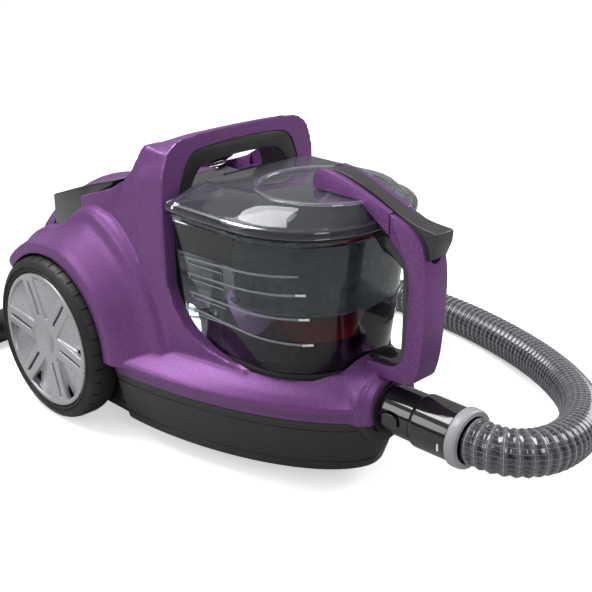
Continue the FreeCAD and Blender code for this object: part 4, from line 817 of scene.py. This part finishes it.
class VACUUM_OT_cover(Builder, Operator):
    """Purple cover with its fenders, deck, carry handle and hose collar"""
    bl_idname = "vacuum.cover"
    bl_label = "Cover"

    def execute(self, context):
        settings = context.scene.vacuum_shell
        forms = [self.dome(0), self.deck(0), self.arch(), self.collar()]
        for side in (1, -1):
            forms += [self.fender(side), self.leg(side), self.cheek(side)]
        cover = melted("upper_cover", forms, settings.voxel, settings.passes, MATERIALS["purple_shell"])
        well = WHEEL_RADIUS + settings.lip_gap / MM
        tools = [block((-260, -200, -60), (460, 200, SEAM + 0.3)), self.dome(2.6), self.deck(2.6),
                 self.seat(), rod(at(320, 0, INLET_Z), (1, 0, 0), INLET_BORE, 130),
                 plate(inner_arch(1.0), 90, 190, "YZ"),
                 node_block("filter_cover", 0.5, (0, 0, 8)), node_block("bulkhead", 0.4, (5, 0, 0)),
                 node_block("exhaust_grille", 0.4, (8, 0, 0)),
                 rod(at(-110, GLAND_Y, GLAND_Z), (1, 0, 0), GLAND_RADIUS, 30)]
        for side in (1, -1):
            tools += [rod(at(0, side * 97, WHEEL_RADIUS), (0, side, 0), well, 70, 160),
                      self.pedal_slot(side)]
        carved(cover, *tools)
        shade(cover, 32)
        settle(cover, "machine", "purple_shell", "main_cover")
        return {"FINISHED"}

    def dome(self, inset):
        """The rear body: arched cross-sections from tail to handle."""
        low = SEAM - (4 if inset else 8)
        rings = []
        for x, half, top, roundness in (
                (-100 + inset, 90, 172, 2.5), (-96, 95, 196, 2.4), (-84, 99, 226, 2.2),
                (-62, 103, 239, 2.05), (-30, 104.5, 246, 2.0), (-5, 105, 252, 2.15), (20, 105, 258, 2.6),
                (60, 105, 262, 3.2),
                (120, 104.5, 266, 3.3), (167 - inset, 104, 268, 3.3)):
            half, top = half - inset, top - inset
            spring, power = low + (top - low) * 0.4, 2 / roundness
            ring = [at(x, half, low)]
            for i in range(25):
                c, s = math.cos(math.pi * i / 24), math.sin(math.pi * i / 24)
                y = math.copysign(half * abs(c) ** power, c)
                ring.append(at(x, y, spring + (top - spring) * s ** power))
            ring.append(at(x, -half, low))
            rings.append(ring)
        return loft(rings)

    def deck(self, inset):
        """The low front deck with its flared shoulder and hollow top."""
        low = SEAM - (4 if inset else 8)
        rings = [plan(96 + inset, 100 + inset, 376 - inset, 126 - inset, 1.8, low),
                 plan(96 + inset, 100 + inset, 376 - inset, 126 - inset, 1.8, SEAM + 1),
                 plan(96 + inset, 100 + inset, 381 - inset, 131 - inset, 1.9, 96.5),
                 plan(96 + inset, 104 + inset, 379 - inset, 129.5 - inset, 1.95, 99.5 - inset * 0.4),
                 plan(96 + inset, 125, 369 - inset, 115 - inset, 2.1, 108 - inset * 0.8),
                 plan(96 + inset, 145, 356 - inset, 101 - inset, 2.2, 117 - inset),
                 plan(96 + inset, 160, 346 - inset, 91 - inset, 2.3, 125 - inset)]
        return loft(rings)

    def fender(self, side):
        """The bulging arch over one wheel, spun round the axle, lower on top and drawn in behind."""
        centre = at(0, 0, WHEEL_RADIUS)
        bm = lathe(FENDER, centre, (0, side, 0), (1, 0, 0), 120)
        lip, root = FENDER[2][0] * MM, FENDER[0][1]
        for vert in bm.verts:
            x, z = vert.co.x - centre.x, vert.co.z - centre.z
            radius = math.hypot(x, z)
            turn = math.degrees(math.atan2(z, x))
            if radius > lip:
                keep = 1 - 0.76 * eased(turn, 67, 98)
                scale = (lip + (radius - lip) * keep) / radius
                vert.co.x, vert.co.z = centre.x + x * scale, centre.z + z * scale
            drawn = eased(turn % 360, 135, 175)
            out = abs(vert.co.y) / MM - root
            vert.co.y = side * MM * (root - 16 * drawn + out * (1 - 0.85 * drawn))
        return cut_level(bm, SEAM - 6, upper=True)

    def leg(self, side):
        """The swept foot of the carry handle, leaning inwards above the dome."""
        bm = plate([(167, 190), (167, 318), (130, 322), (123, 312), (114, 296), (100, 281), (80, 270),
                    (56, 261), (28, 252), (28, 190)], side * 84, side * 104)
        for vert in bm.verts:
            vert.co.y -= side * max(0.0, vert.co.z - 262 * MM) * 0.17
        return bm

    def cheek(self, side):
        """The curved web between the body's side and the deck, behind the bin."""
        bm = plate([(140, 100), (140, 240), (158, 240), (160, 215), (167, 188), (177, 163), (188, 149),
                    (200, 140), (216, 132), (236, 126), (262, 122), (262, 100)], side * 78, side * 103.5)
        start = at(176, 0, 0).x
        for vert in bm.verts:
            if abs(vert.co.y) > 0.1 and vert.co.x > start:
                vert.co.y -= side * (vert.co.x - start) * 0.2
        return bm

    def arch(self):
        """The carry handle's hoop, its top falling away to the rear."""
        bm = plate(outer_arch(), 124, 167, "YZ")
        rear = at(125, 0, 0).x
        for vert in bm.verts:
            if vert.co.x < rear:
                share = min(1.0, max(0.0, (vert.co.z / MM - 282) / 50))
                vert.co.z -= 12 * MM * share
                vert.co.y *= 1 - 0.03 * share
        return bm

    def collar(self):
        """Raised collar with stepped rings round the hose inlet."""
        return inlet_lathe([(0, 300), (50, 300), (46, 330), (43.5, 350), (42, 364), (40.5, 367.5),
                            (36.5, 368), (35.5, 371), (34, 373.5), (30, 374), (0, 374)], 72)

    def seat(self):
        """The room in the deck that the bin stands in."""
        rings = []
        for z in (BIN_FLOOR - 1.5, 290):
            nose, half = bin_size(z)
            rings.append(plan(BIN_BACK - 1, BIN_STRAIGHT, nose + SEAT_GAP, half + SEAT_GAP,
                              BIN_POWER, z, 4))
        return loft(rings)

    def pedal_slot(self, side):
        """The room in the cover for one pedal and its press."""
        y, half = side * PEDAL_Y, PEDAL_HALF + PEDAL_GAP
        return plate([(-60, 150), (-60, 240), (0, 262), (63, 282), (66, 262), (10, 232), (-18, 200),
                      (-40, 150)], y - half, y + half)


def outer_arch():
    """Outline of the carry handle seen from behind, as y, z and corner radius."""
    half = [(104, 200, 0), (104, 262, 14), (101, 300, 10), (90, 328, 15), (50, 333.5, 60)]
    return half + [(-y, z, r) for y, z, r in reversed(half)]


def inner_arch(grow):
    """Outline of the opening that the liner fills."""
    half = [(83 + grow, 262, 0), (80 + grow, 285, 14), (66 + grow, 315 + grow, 12), (30, 319 + grow, 40)]
    return half + [(-y, z, r) for y, z, r in reversed(half)]


class VACUUM_OT_tub(Builder, Operator):
    """Charcoal tub with its two fine groove lines"""
    bl_idname = "vacuum.tub"
    bl_label = "Tub"

    def execute(self, context):
        rings = [self.ring(z, inset) for z, inset in (
            (20, 3), (21, 1), (23, 0), (31, 0), (31.5, 0.9), (32.6, 0.9), (33.1, 0), (71, 0),
            (71.5, 0.9), (72.6, 0.9), (73.1, 0), (80.6, 0), (SEAM, 1.0))]
        tub = finished("tub", loft(rings), MATERIALS["charcoal"])
        inner = loft([self.ring(26, 3.0), self.ring(SEAM + 4, 3.0)])
        carved(tub, inner, rod(at(330, 0, INLET_Z), (1, 0, 0), INLET_BORE, 120),
               rod(at(CASTER_X, 0, 10), (0, 0, 1), 34, 30),
               rod(at(-110, GLAND_Y, GLAND_Z), (1, 0, 0), GLAND_RADIUS, 30))
        shade(tub, 30)
        settle(tub, "machine", "charcoal", "lower_housing")
        collar = inlet_lathe([(28, 344), (37, 344), (38.5, 352), (38.5, 366), (36, 370), (28, 370)], 64)
        put("tub_collar", cut_level(collar, SEAM - 0.3, upper=False), "charcoal", "machine", "charcoal")
        roof = rod(at(CASTER_X, 0, 40), (0, 0, 1), 36, 3)
        put("caster_recess", roof, "black_matte", "machine", "black_matte")
        return {"FINISHED"}

    def ring(self, z, inset):
        """One level of the tub: narrow between the wheels, full ahead of them."""
        share = (z - 20) / (SEAM - 20)
        half = 111 + 15 * share - inset
        nose = 352 + 24 * share - inset
        narrow = 105.7 - inset
        front = plan(100 + inset, 103 + inset, nose, half, 1.8, z, 1.0)
        rear = [at(-100 + inset, narrow, z), at(100 + inset, narrow, z)]
        return [Vector((p.x, -p.y, p.z)) for p in rear] + front + list(reversed(rear))


# ---------------------------------------------------------------- wheels

class VACUUM_OT_wheels(Builder, Operator):
    """Tyres with notched shoulders and spoked silver hubcaps"""
    bl_idname = "vacuum.wheels"
    bl_label = "Wheels"

    def execute(self, context):
        settings = context.scene.vacuum_wheels
        for name, side in (("right", -1), ("left", 1)):
            tyre = finished(f"{name}_tyre_tread", self.tyre(side), MATERIALS["tyre"])
            carved(tyre, self.notches(side, settings.notches))
            shade(tyre, 32)
            settle(tyre, f"{name}_wheel", "tyre", f"{name}_tyre")
            cap = self.cap(name, side, settings)
            settle(cap, f"{name}_wheel", "silver", f"{name}_hubcap")
        return {"FINISHED"}

    def tyre(self, side):
        """A tyre with a bead groove and rounded shoulders."""
        rim, tread = WHEEL_RADIUS - 16, WHEEL_RADIUS
        profile = [(rim, 2), (rim, 35), (rim + 1.2, 36.8), (rim + 3.4, 37.6), (rim + 4.4, 36.4),
                   (rim + 5.6, 36.4), (rim + 6.4, 37.8), (tread - 5.5, 36.6), (tread - 2.6, 34.2),
                   (tread - 0.8, 30.5), (tread, 26), (tread, 12), (tread - 0.8, 7.5), (tread - 2.6, 3.8),
                   (tread - 6, 1.2), (rim + 2, 0)]
        profile = [(r, WHEEL_INNER + a) for r, a in profile]
        return lathe(profile, at(0, 0, WHEEL_RADIUS), (0, side, 0), (0, 0, 1), 144)

    def notches(self, side, count):
        """Short cuts across the outer shoulder."""
        cutters = bmesh.new()
        for i in range(count):
            turn = Matrix.Rotation(math.tau * i / count, 4, "Y")
            on_rim = Matrix.Translation((0, side * (WHEEL_FACE - 6) * MM, (WHEEL_RADIUS - 0.2) * MM))
            sized = Matrix.Diagonal((0.0016, 0.013, 0.0042, 1))
            place = Matrix.Translation(at(0, 0, WHEEL_RADIUS)) @ turn @ on_rim @ sized
            bmesh.ops.create_cube(cutters, size=1, matrix=place)
        return cutters

    def cap(self, name, side, settings):
        """A dished cap with pockets between its twin spokes."""
        rim = WHEEL_RADIUS - 16
        profile = [(0, 33.5), (6, 33.6), (11, 34.4), (15, 35.6), (18.5, 36.3), (24, 36), (40, 36.3),
                   (rim - 6, 37.4), (rim - 2.5, 37.6), (rim - 0.6, 36.9), (rim - 0.4, 35), (rim - 0.4, 29),
                   (rim - 6, 28.6), (rim - 7, 30.4), (0, 30.4)]
        profile = [(r, WHEEL_INNER + a) for r, a in profile]
        whole = lathe(profile, at(0, 0, WHEEL_RADIUS), (0, side, 0), (0, 0, 1), 120)
        disc = finished(f"{name}_spoked_cap", whole, MATERIALS["silver"])
        width = settings.spoke_width / MM
        for i in range(settings.spokes):
            angle = -20 + 360 / settings.spokes * i
            carved(disc, self.pocket(side, angle, width, rim), self.slot(side, angle, rim))
        softened(disc, CAP_GRID, 3)
        disc.data.materials.clear()
        disc.data.materials.append(MATERIALS["silver"])
        shade(disc, 60)
        return disc

    def on_face(self, side, angle, across, out, depth):
        """A point on the wheel: along a spoke's direction, across it and in from the face."""
        a = math.radians(angle)
        x = math.sin(a) * out + math.cos(a) * across
        z = math.cos(a) * out - math.sin(a) * across
        return at(x, side * (WHEEL_FACE - depth), WHEEL_RADIUS + z)

    def pocket(self, side, angle, width, rim):
        """The hollow between two spokes, its floor falling away from one spoke to the next."""
        apart = 30
        half = width / 2
        middle = angle + apart
        reach = rim - 5.5
        inner = max(half / math.sin(math.radians(apart)), 24)
        lean = math.degrees(math.asin(half / reach))
        start, end = -apart + lean, apart - lean
        count = 10
        outline = [(0, inner, 0.5)]
        for i in range(count + 1):
            turn = math.radians(start + (end - start) * i / count)
            outline.append((reach * math.sin(turn), reach * math.cos(turn), i / count))
        return prism([self.on_face(side, middle, a, o, -4) for a, o, _ in outline],
                     [self.on_face(side, middle, a, o, 2.0 + 7.2 * turned ** 1.6)
                      for a, o, turned in outline])

    def slot(self, side, angle, rim):
        """The narrow gap between the two halves of a twin spoke."""
        corners = [(-1.5, 27), (1.5, 27), (1.5, rim - 9), (-1.5, rim - 9)]
        return prism(*([self.on_face(side, angle, a, o, depth) for a, o in corners] for depth in (-4, 12)))


# ---------------------------------------------------------------- bin and lid

def bin_ring(z, inset, corner=9.0):
    """The bin's outline at a height, inset by a distance."""
    nose, half = bin_size(z)
    return plan(BIN_BACK + inset, BIN_STRAIGHT, nose - inset, half - inset, BIN_POWER, z, corner)


class VACUUM_OT_bin(Builder, Operator):
    """Clear smoked bin with its ribs, marks and gasket"""
    bl_idname = "vacuum.bin"
    bl_label = "Dust bin"

    def execute(self, context):
        settings = context.scene.vacuum_bin
        wall = settings.wall / MM
        outside = [(122, 4.5), (122.6, 2.4), (124, 0.8), (126.5, 0), (200, 0), (258, 0), (259, -1.6),
                   (261, -2.4), (264, -2.4)]
        inside = [(264, wall), (200, wall), (130, wall), (127, wall + 1.4), (125.2, wall + 4)]
        rings = [bin_ring(z, inset) for z, inset in outside + inside]
        put("clear_bin", loft(rings), "smoke_clear", "dust_bin", "smoke_clear", "dust_bin")
        for side, name in ((-1, "right"), (1, "left")):
            self.ribs(side, name, settings.ribs)
        gasket = loft([bin_ring(z, inset) for z, inset in (
            (121.2, 2.5), (121.2, -0.4), (122, -1.1), (124.5, -1.3), (126.6, -0.9), (127, -0.2),
            (127, 0.15), (123, 0.9), (121.6, 2.5))], hollow=True)
        put("bin_seat_gasket", gasket, "seal", "dust_bin", "seal", "bin_gasket")
        return {"FINISHED"}

    def ribs(self, side, name, count):
        """Raised ribs along one side, each with a shorter one below it, and the level marks."""
        ribs = bmesh.new()
        levels = [(221, 230), (204, 211), (184, 186), (166, 159)][:count]
        for rear, front in levels:
            self.strip(ribs, side, 188, 322, rear, front, 2.4)
            self.strip(ribs, side, 194, 240, rear - 5.5, rear - 3.5, 1.2)
            self.post(ribs, side, 190, rear, rear - 5)
        put(f"{name}_bin_ribs", ribs, "smoke_rib", "dust_bin", "smoke_clear")
        marks = bmesh.new()
        for _, front in levels[1:]:
            self.strip(marks, side, 318, 325, front, front, 2.2, 1.15)
        put(f"{name}_level_marks", marks, "light_mark", "dust_bin", "smoke_clear")

    def on_side(self, side, x, z, out):
        """A point on the bin's side wall at x and z, standing out by a distance."""
        nose, half = bin_size(z)
        ahead, reach = x - BIN_STRAIGHT, nose - BIN_STRAIGHT
        if ahead <= 0:
            return at(x, side * (half + out), z)
        c = min(1.0, (ahead / reach) ** (BIN_POWER / 2))
        y = half * math.sqrt(1 - c * c) ** (2 / BIN_POWER)
        outward = Vector((ahead / reach ** 2 * half ** 2, y * side, 0)).normalized()
        return at(x + outward.x * out, y * side + outward.y * out, z)

    def strip(self, bm, side, x0, x1, z0, z1, width, out=0.9, count=26):
        """A long low bar on the side wall, from x0, z0 to x1, z1."""
        half = width / 2
        section = ((half, -0.4), (half * 0.7, out), (-half * 0.7, out), (-half, -0.4))
        bar(bm, [[self.on_side(side, x0 + (x1 - x0) * i / count, z0 + (z1 - z0) * i / count + dz, o)
                  for dz, o in section] for i in range(count + 1)])

    def post(self, bm, side, x, high, low, count=8):
        """A short upright bar on the side wall."""
        section = ((-0.8, -0.4), (-0.6, 0.8), (0.6, 0.8), (0.8, -0.4))
        bar(bm, [[self.on_side(side, x + dx, high + (low - high) * i / count, o) for dx, o in section]
                 for i in range(count + 1)])


class VACUUM_OT_lid(Builder, Operator):
    """Clear domed lid with its bright rim and round ring"""
    bl_idname = "vacuum.lid"
    bl_label = "Lid"

    def execute(self, context):
        # nose, half width, centre, roundness, height and back of each level, from the rim up
        outside = [(357, 101, 253, 2.3, 267, 170.5), (360.5, 104.5, 253, 2.3, 267.4, 169.3),
                   (361, 105, 253, 2.3, 269, 169), (361, 105, 253, 2.3, 272.5, 169),
                   (360, 104, 253, 2.3, 274.6, 169.6), (358, 102, 253, 2.3, 275.4, 170.5),
                   (356, 99.5, 254, 2.25, 275.9, 171.5), (355, 96, 256, 2.2, 277.6, 173),
                   (353.5, 88, 262, 2.15, 282.6, 177), (351, 80, 270, 2.05, 287.6, 181.5),
                   (348.5, 74, 276, 2.0, 290.8, 185), (345, 69, 279, 2.0, 292, 188)]
        inside = [(342, 66, 279, 2.0, 289.4, 190), (349, 78, 270, 2.05, 284.4, 183),
                  (352, 90, 260, 2.2, 277, 176), (353.6, 96.8, 254, 2.25, 272.8, 172.6),
                  (353.6, 96.8, 253, 2.3, 267, 172.6)]
        rings = [plan(back, centre, nose, half, power, z, 8)
                 for nose, half, centre, power, z, back in outside[::-1] + inside[::-1]]
        lid = finished("clear_lid", loft(rings), MATERIALS["smoke_lid"])
        carved(lid, block((164, -31, 276.5), (185, 31, 300)))
        shade(lid, 30)
        settle(lid, "bin_lid", "smoke_clear", "bin_lid")
        ring = lathe([(61, 292.2), (61.6, 293.4), (63.2, 293.9), (66.2, 293.9), (67.6, 293.2), (68, 292.0)],
                     at(283, 0, 0), (0, 0, 1), (1, 0, 0), 110)
        put("lid_ring", ring, "smoke_lid", "bin_lid", "smoke_clear")
        return {"FINISHED"}


# ---------------------------------------------------------------- handles

class VACUUM_OT_handles(Builder, Operator):
    """Bin grip, its dark frame, the upper handle and the release lever"""
    bl_idname = "vacuum.handles"
    bl_label = "Handles"

    def execute(self, context):
        grip = plate([(377.6, 287, 1), (394, 281.5, 12), (413, 270, 12), (421, 246, 30), (420.5, 190, 60),
                      (415, 146, 14), (408, 129, 8), (356, 126, 3), (352, 131, 3), (352, 139, 3),
                      (384, 141, 8), (397, 152, 10), (401, 200, 60), (400, 240, 12), (391, 254, 12),
                      (377.6, 264, 1)],
                     -15, 15, edge=4.2, segments=4)
        grip = finished("bin_grip", grip, MATERIALS["purple_shell"])
        carved(grip, self.lever_groove(), self.dark_notch())
        shade(grip, 34)
        settle(grip, "dust_bin", "purple_shell", "bin_handle")
        frame_band = plate([(352.5, 263.5, 2), (378, 262.6, 4), (389, 252, 10), (396.5, 243, 10),
                            (399, 200, 60), (396, 152, 10), (386, 143, 8), (352.5, 141.2, 2),
                            (352.5, 146, 1), (383, 148.5, 7), (391, 156, 8), (393.4, 200, 60),
                            (391.4, 238, 10), (383, 246, 9), (366, 250, 6), (360.5, 258, 3)],
                           -11.5, 11.5, edge=1.2)
        put("grip_frame", frame_band, "black_gloss", "dust_bin", "black_matte", "bin_handle_frame")
        upper = plate([(284, 293, 2), (283, 305, 5), (291, 313.5, 8), (310, 312, 20), (340, 303.5, 30),
                       (376.8, 288.4, 1), (376.8, 268, 1), (363.5, 277, 4), (352, 284, 10),
                       (340, 292.6, 8)],
                      -15.5, 15.5, edge=3.4, segments=4)
        upper = finished("lid_grip", upper, MATERIALS["purple_shell"])
        carved(upper, self.lever_groove())
        shade(upper, 34)
        settle(upper, "bin_lid", "purple_shell", "lid_handle")
        put("release_lever_arm", self.lever(), "lever_grey",
            "release_lever", "black_matte", "release_lever")
        return {"FINISHED"}

    def lever(self):
        """The lever: waisted in the middle, wide at its down-turned tip."""
        line = [(289, 310.4, 5), (305, 313.9, 14), (330, 309.4, 30), (352, 300.9, 30), (380, 288.4, 30),
                (404, 281.4, 20), (428, 278.9, 1.5), (427, 268, 2), (420.5, 252.5, 2), (410.5, 252, 4),
                (404, 262, 14), (392, 271.5, 20), (372, 280, 30), (350, 289.5, 30), (326, 299, 20),
                (300, 301, 8), (289, 301, 4)]
        bm = plate(line, -9, 9, edge=2.2)
        for vert in bm.verts:
            x = (vert.co.x - AXLE_X) / MM
            vert.co.y *= 1 + 0.28 * max(0.0, (x - 385) / 43) - 0.22 * math.exp(-((x - 352) / 26) ** 2)
        return bm

    def lever_groove(self):
        """The long channel in which the lever lies."""
        return plate([(286.5, 330), (286.5, 299), (300, 297.5), (326, 296.5), (350, 286.5), (372, 277),
                      (392, 268.5), (402, 262), (405, 262), (440, 262), (440, 330)], -9.8, 9.8)

    def dark_notch(self):
        """The half-round notch under the lever's tip."""
        return rod(at(396, 0, 256.5), (1, 0, 0), 8.6, 60, 40)


# ---------------------------------------------------------------- carry handle liner, cover, pedals

class VACUUM_OT_liner(Builder, Operator):
    """Matt liner of the carry handle and the glossy cover below it"""
    bl_idname = "vacuum.liner"
    bl_label = "Handle liner"

    def execute(self, context):
        half = [(66, 268.4, 0), (67, 274, 6), (63, 290, 12), (50, 301, 14), (20, 303.5, 60)]
        hole = half + [(-y, z, r) for y, z, r in reversed(half)]
        liner = finished("carry_liner", plate(inner_arch(0.3), 124.5, 166.5, "YZ", edge=1.2),
                         MATERIALS["black_matte"])
        tunnel = plate([(y, z - (40 if z < 269 else 0), r) for y, z, r in hole], 110, 180, "YZ")
        carved(liner, tunnel, block((60, -120, 200), (200, 120, 268.4)))
        bm = bmesh.new()
        bm.from_mesh(liner.data)
        bmesh.ops.remove_doubles(bm, verts=bm.verts, dist=1e-6)
        bmesh.ops.dissolve_limit(bm, angle_limit=math.radians(0.6), verts=bm.verts, edges=bm.edges)
        rims = [e for e in bm.edges if len(e.link_faces) == 2 and e.calc_face_angle(0) > 1.0
                and abs(e.verts[0].co.x - e.verts[1].co.x) < 1e-5 and e.verts[0].co.z > 0.269
                and abs(e.verts[0].co.y) < 0.0685]
        bevelled(bm, rims, 3, 4)
        bm.to_mesh(liner.data)
        bm.free()
        shade(liner, 30)
        settle(liner, "machine", "black_matte", "handle_liner")
        cover, lid_z = node_block("filter_cover"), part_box("filter_cover")[1].z
        top = [e for e in cover.edges if all(v.co.z > lid_z - 1e-5 for v in e.verts)]
        bevelled(cover, top, 5, 5)
        put("glossy_filter_cover", cover, "black_gloss", "machine", "black_gloss", "filter_cover")
        return {"FINISHED"}


class VACUUM_OT_pedals(Builder, Operator):
    """Glossy foot pedals that taper forwards to the handle"""
    bl_idname = "vacuum.pedals"
    bl_label = "Pedals"

    def execute(self, context):
        line = [(-57, 198, 1.5), (-56.5, 232.5, 2.5), (-20, 245.5, 10), (20, 259, 20), (59, 270, 1),
                (59, 266, 0.6), (22, 243, 10), (-2, 218, 8), (-14, 198, 4)]
        for name, side in (("power", -1), ("rewind", 1)):
            bm = plate(line, side * PEDAL_Y - PEDAL_HALF, side * PEDAL_Y + PEDAL_HALF, edge=1.4)
            put(f"{name}_pedal_cap", bm, "black_gloss", f"{name}_pedal", "black_gloss", f"{name}_pedal")
        return {"FINISHED"}


# ---------------------------------------------------------------- connector

class VACUUM_OT_connector(Builder, Operator):
    """Glossy connector tube, its latch button and the light end ring"""
    bl_idname = "vacuum.connector"
    bl_label = "Connector"

    def execute(self, context):
        low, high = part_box("connector_tube")
        start = (low.x - AXLE_X) / MM
        tube = inlet_lathe([(21.6, start), (24, start), (24, 411.5), (25.2, 412.4), (26.2, 414.2),
                            (26.4, 417), (26.2, 440), (26.0, 454.8), (25.2, 456), (22.6, 456),
                            (22.4, 440), (21.6, 414)])
        tube = finished("connector_barrel", tube, MATERIALS["black_gloss"])
        low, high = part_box("latch_button")
        middle = (low + high) / 2
        x, z = (middle.x - AXLE_X) / MM, middle.z / MM
        carved(tube, self.pill(x, z, 12.6, 9.4, -30, -21.9))
        shade(tube, 30)
        settle(tube, "connector", "black_gloss", "connector_tube")
        button = self.pill(x, z, 10.4, 7.2, -25.6, -23.9, 0.8)
        put("latch_button_cap", button, "black_gloss", "latch_button", "black_gloss", "latch_button")
        ring = inlet_lathe([(24, 456.4), (27.6, 456.4), (28.5, 457.4), (28.7, 459), (28.5, 464.6),
                            (27.8, 467), (26.8, 467.8), (22.8, 467.8), (22.2, 466)])
        put("hose_end_ring", ring, "grey_ring", "hose", "grey_ring", "end_ring")
        tick = plate([(447.5, 84, 0.3), (449.3, 84, 0.3), (449.3, 91, 0.3), (447.5, 91, 0.3)], -26.3, -24.5)
        put("alignment_tick", tick, "light_mark", "connector", "black_gloss")
        return {"FINISHED"}

    def pill(self, x, z, half_long, half_wide, y0, y1, edge=0.0):
        """A slab with round ends, standing out of the right side."""
        r = half_wide * 0.98
        line = [(x - half_long, z - half_wide, r), (x + half_long, z - half_wide, r),
                (x + half_long, z + half_wide, r), (x - half_long, z + half_wide, r)]
        return plate(line, y0, y1, edge=edge)


# ---------------------------------------------------------------- small CAD pieces

class VACUUM_OT_finishes(Builder, Operator):
    """Give every CAD piece that stays its own finish"""
    bl_idname = "vacuum.finishes"
    bl_label = "Finishes"

    def execute(self, context):
        swaps = {"hinge_bracket": "black_gloss", "hinge_knuckle": "black_gloss",
                 "outlet_duct": "duct_smoke", "bulkhead": "black_gloss"}
        for row in frame["record"]["subparts"]:
            obj = frame["nodes"][row["node"]]
            material = MATERIALS[swaps.get(row["node"], row["material_slot"])
                                 if row["material_slot"] != "hose_grey" else "grey_ring"]
            for i in range(max(1, len(obj.material_slots))):
                if not obj.material_slots:
                    obj.data.materials.append(material)
                obj.material_slots[i].link = "OBJECT"
                obj.material_slots[i].material = material
        return {"FINISHED"}


class VACUUM_PT_panel(Panel):
    """Lists the builders in the order in which they run"""
    bl_idname = "VACUUM_PT_panel"
    bl_label = "Canister vacuum"
    bl_space_type = "VIEW_3D"
    bl_region_type = "UI"
    bl_category = "Vacuum"

    def draw(self, context):
        for builder in BUILDERS:
            self.layout.operator(builder.bl_idname)
        for group in SETTINGS:
            for name in SETTINGS[group].__annotations__:
                self.layout.prop(getattr(context.scene, group), name)


BUILDERS = (VACUUM_OT_stage, VACUUM_OT_hose, VACUUM_OT_cover, VACUUM_OT_tub, VACUUM_OT_wheels,
            VACUUM_OT_bin, VACUUM_OT_lid, VACUUM_OT_handles, VACUUM_OT_liner, VACUUM_OT_pedals, VACUUM_OT_connector,
            VACUUM_OT_finishes)
SETTINGS = {"vacuum_shell": ShellSettings, "vacuum_wheels": WheelSettings, "vacuum_bin": BinSettings,
            "vacuum_hose": HoseSettings, "vacuum_stage": StageSettings}


def register():
    for group, cls in SETTINGS.items():
        bpy.utils.register_class(cls)
        setattr(bpy.types.Scene, group, PointerProperty(type=cls))
    for cls in BUILDERS + (VACUUM_PT_panel,):
        bpy.utils.register_class(cls)


def unregister():
    for cls in reversed(BUILDERS + (VACUUM_PT_panel,)):
        bpy.utils.unregister_class(cls)
    for group, cls in SETTINGS.items():
        delattr(bpy.types.Scene, group)
        bpy.utils.unregister_class(cls)


def main():
    register()
    make_finishes()
    for builder in BUILDERS:
        getattr(bpy.ops.vacuum, builder.bl_idname.split(".")[1])()


if __name__ == "__main__":
    main()
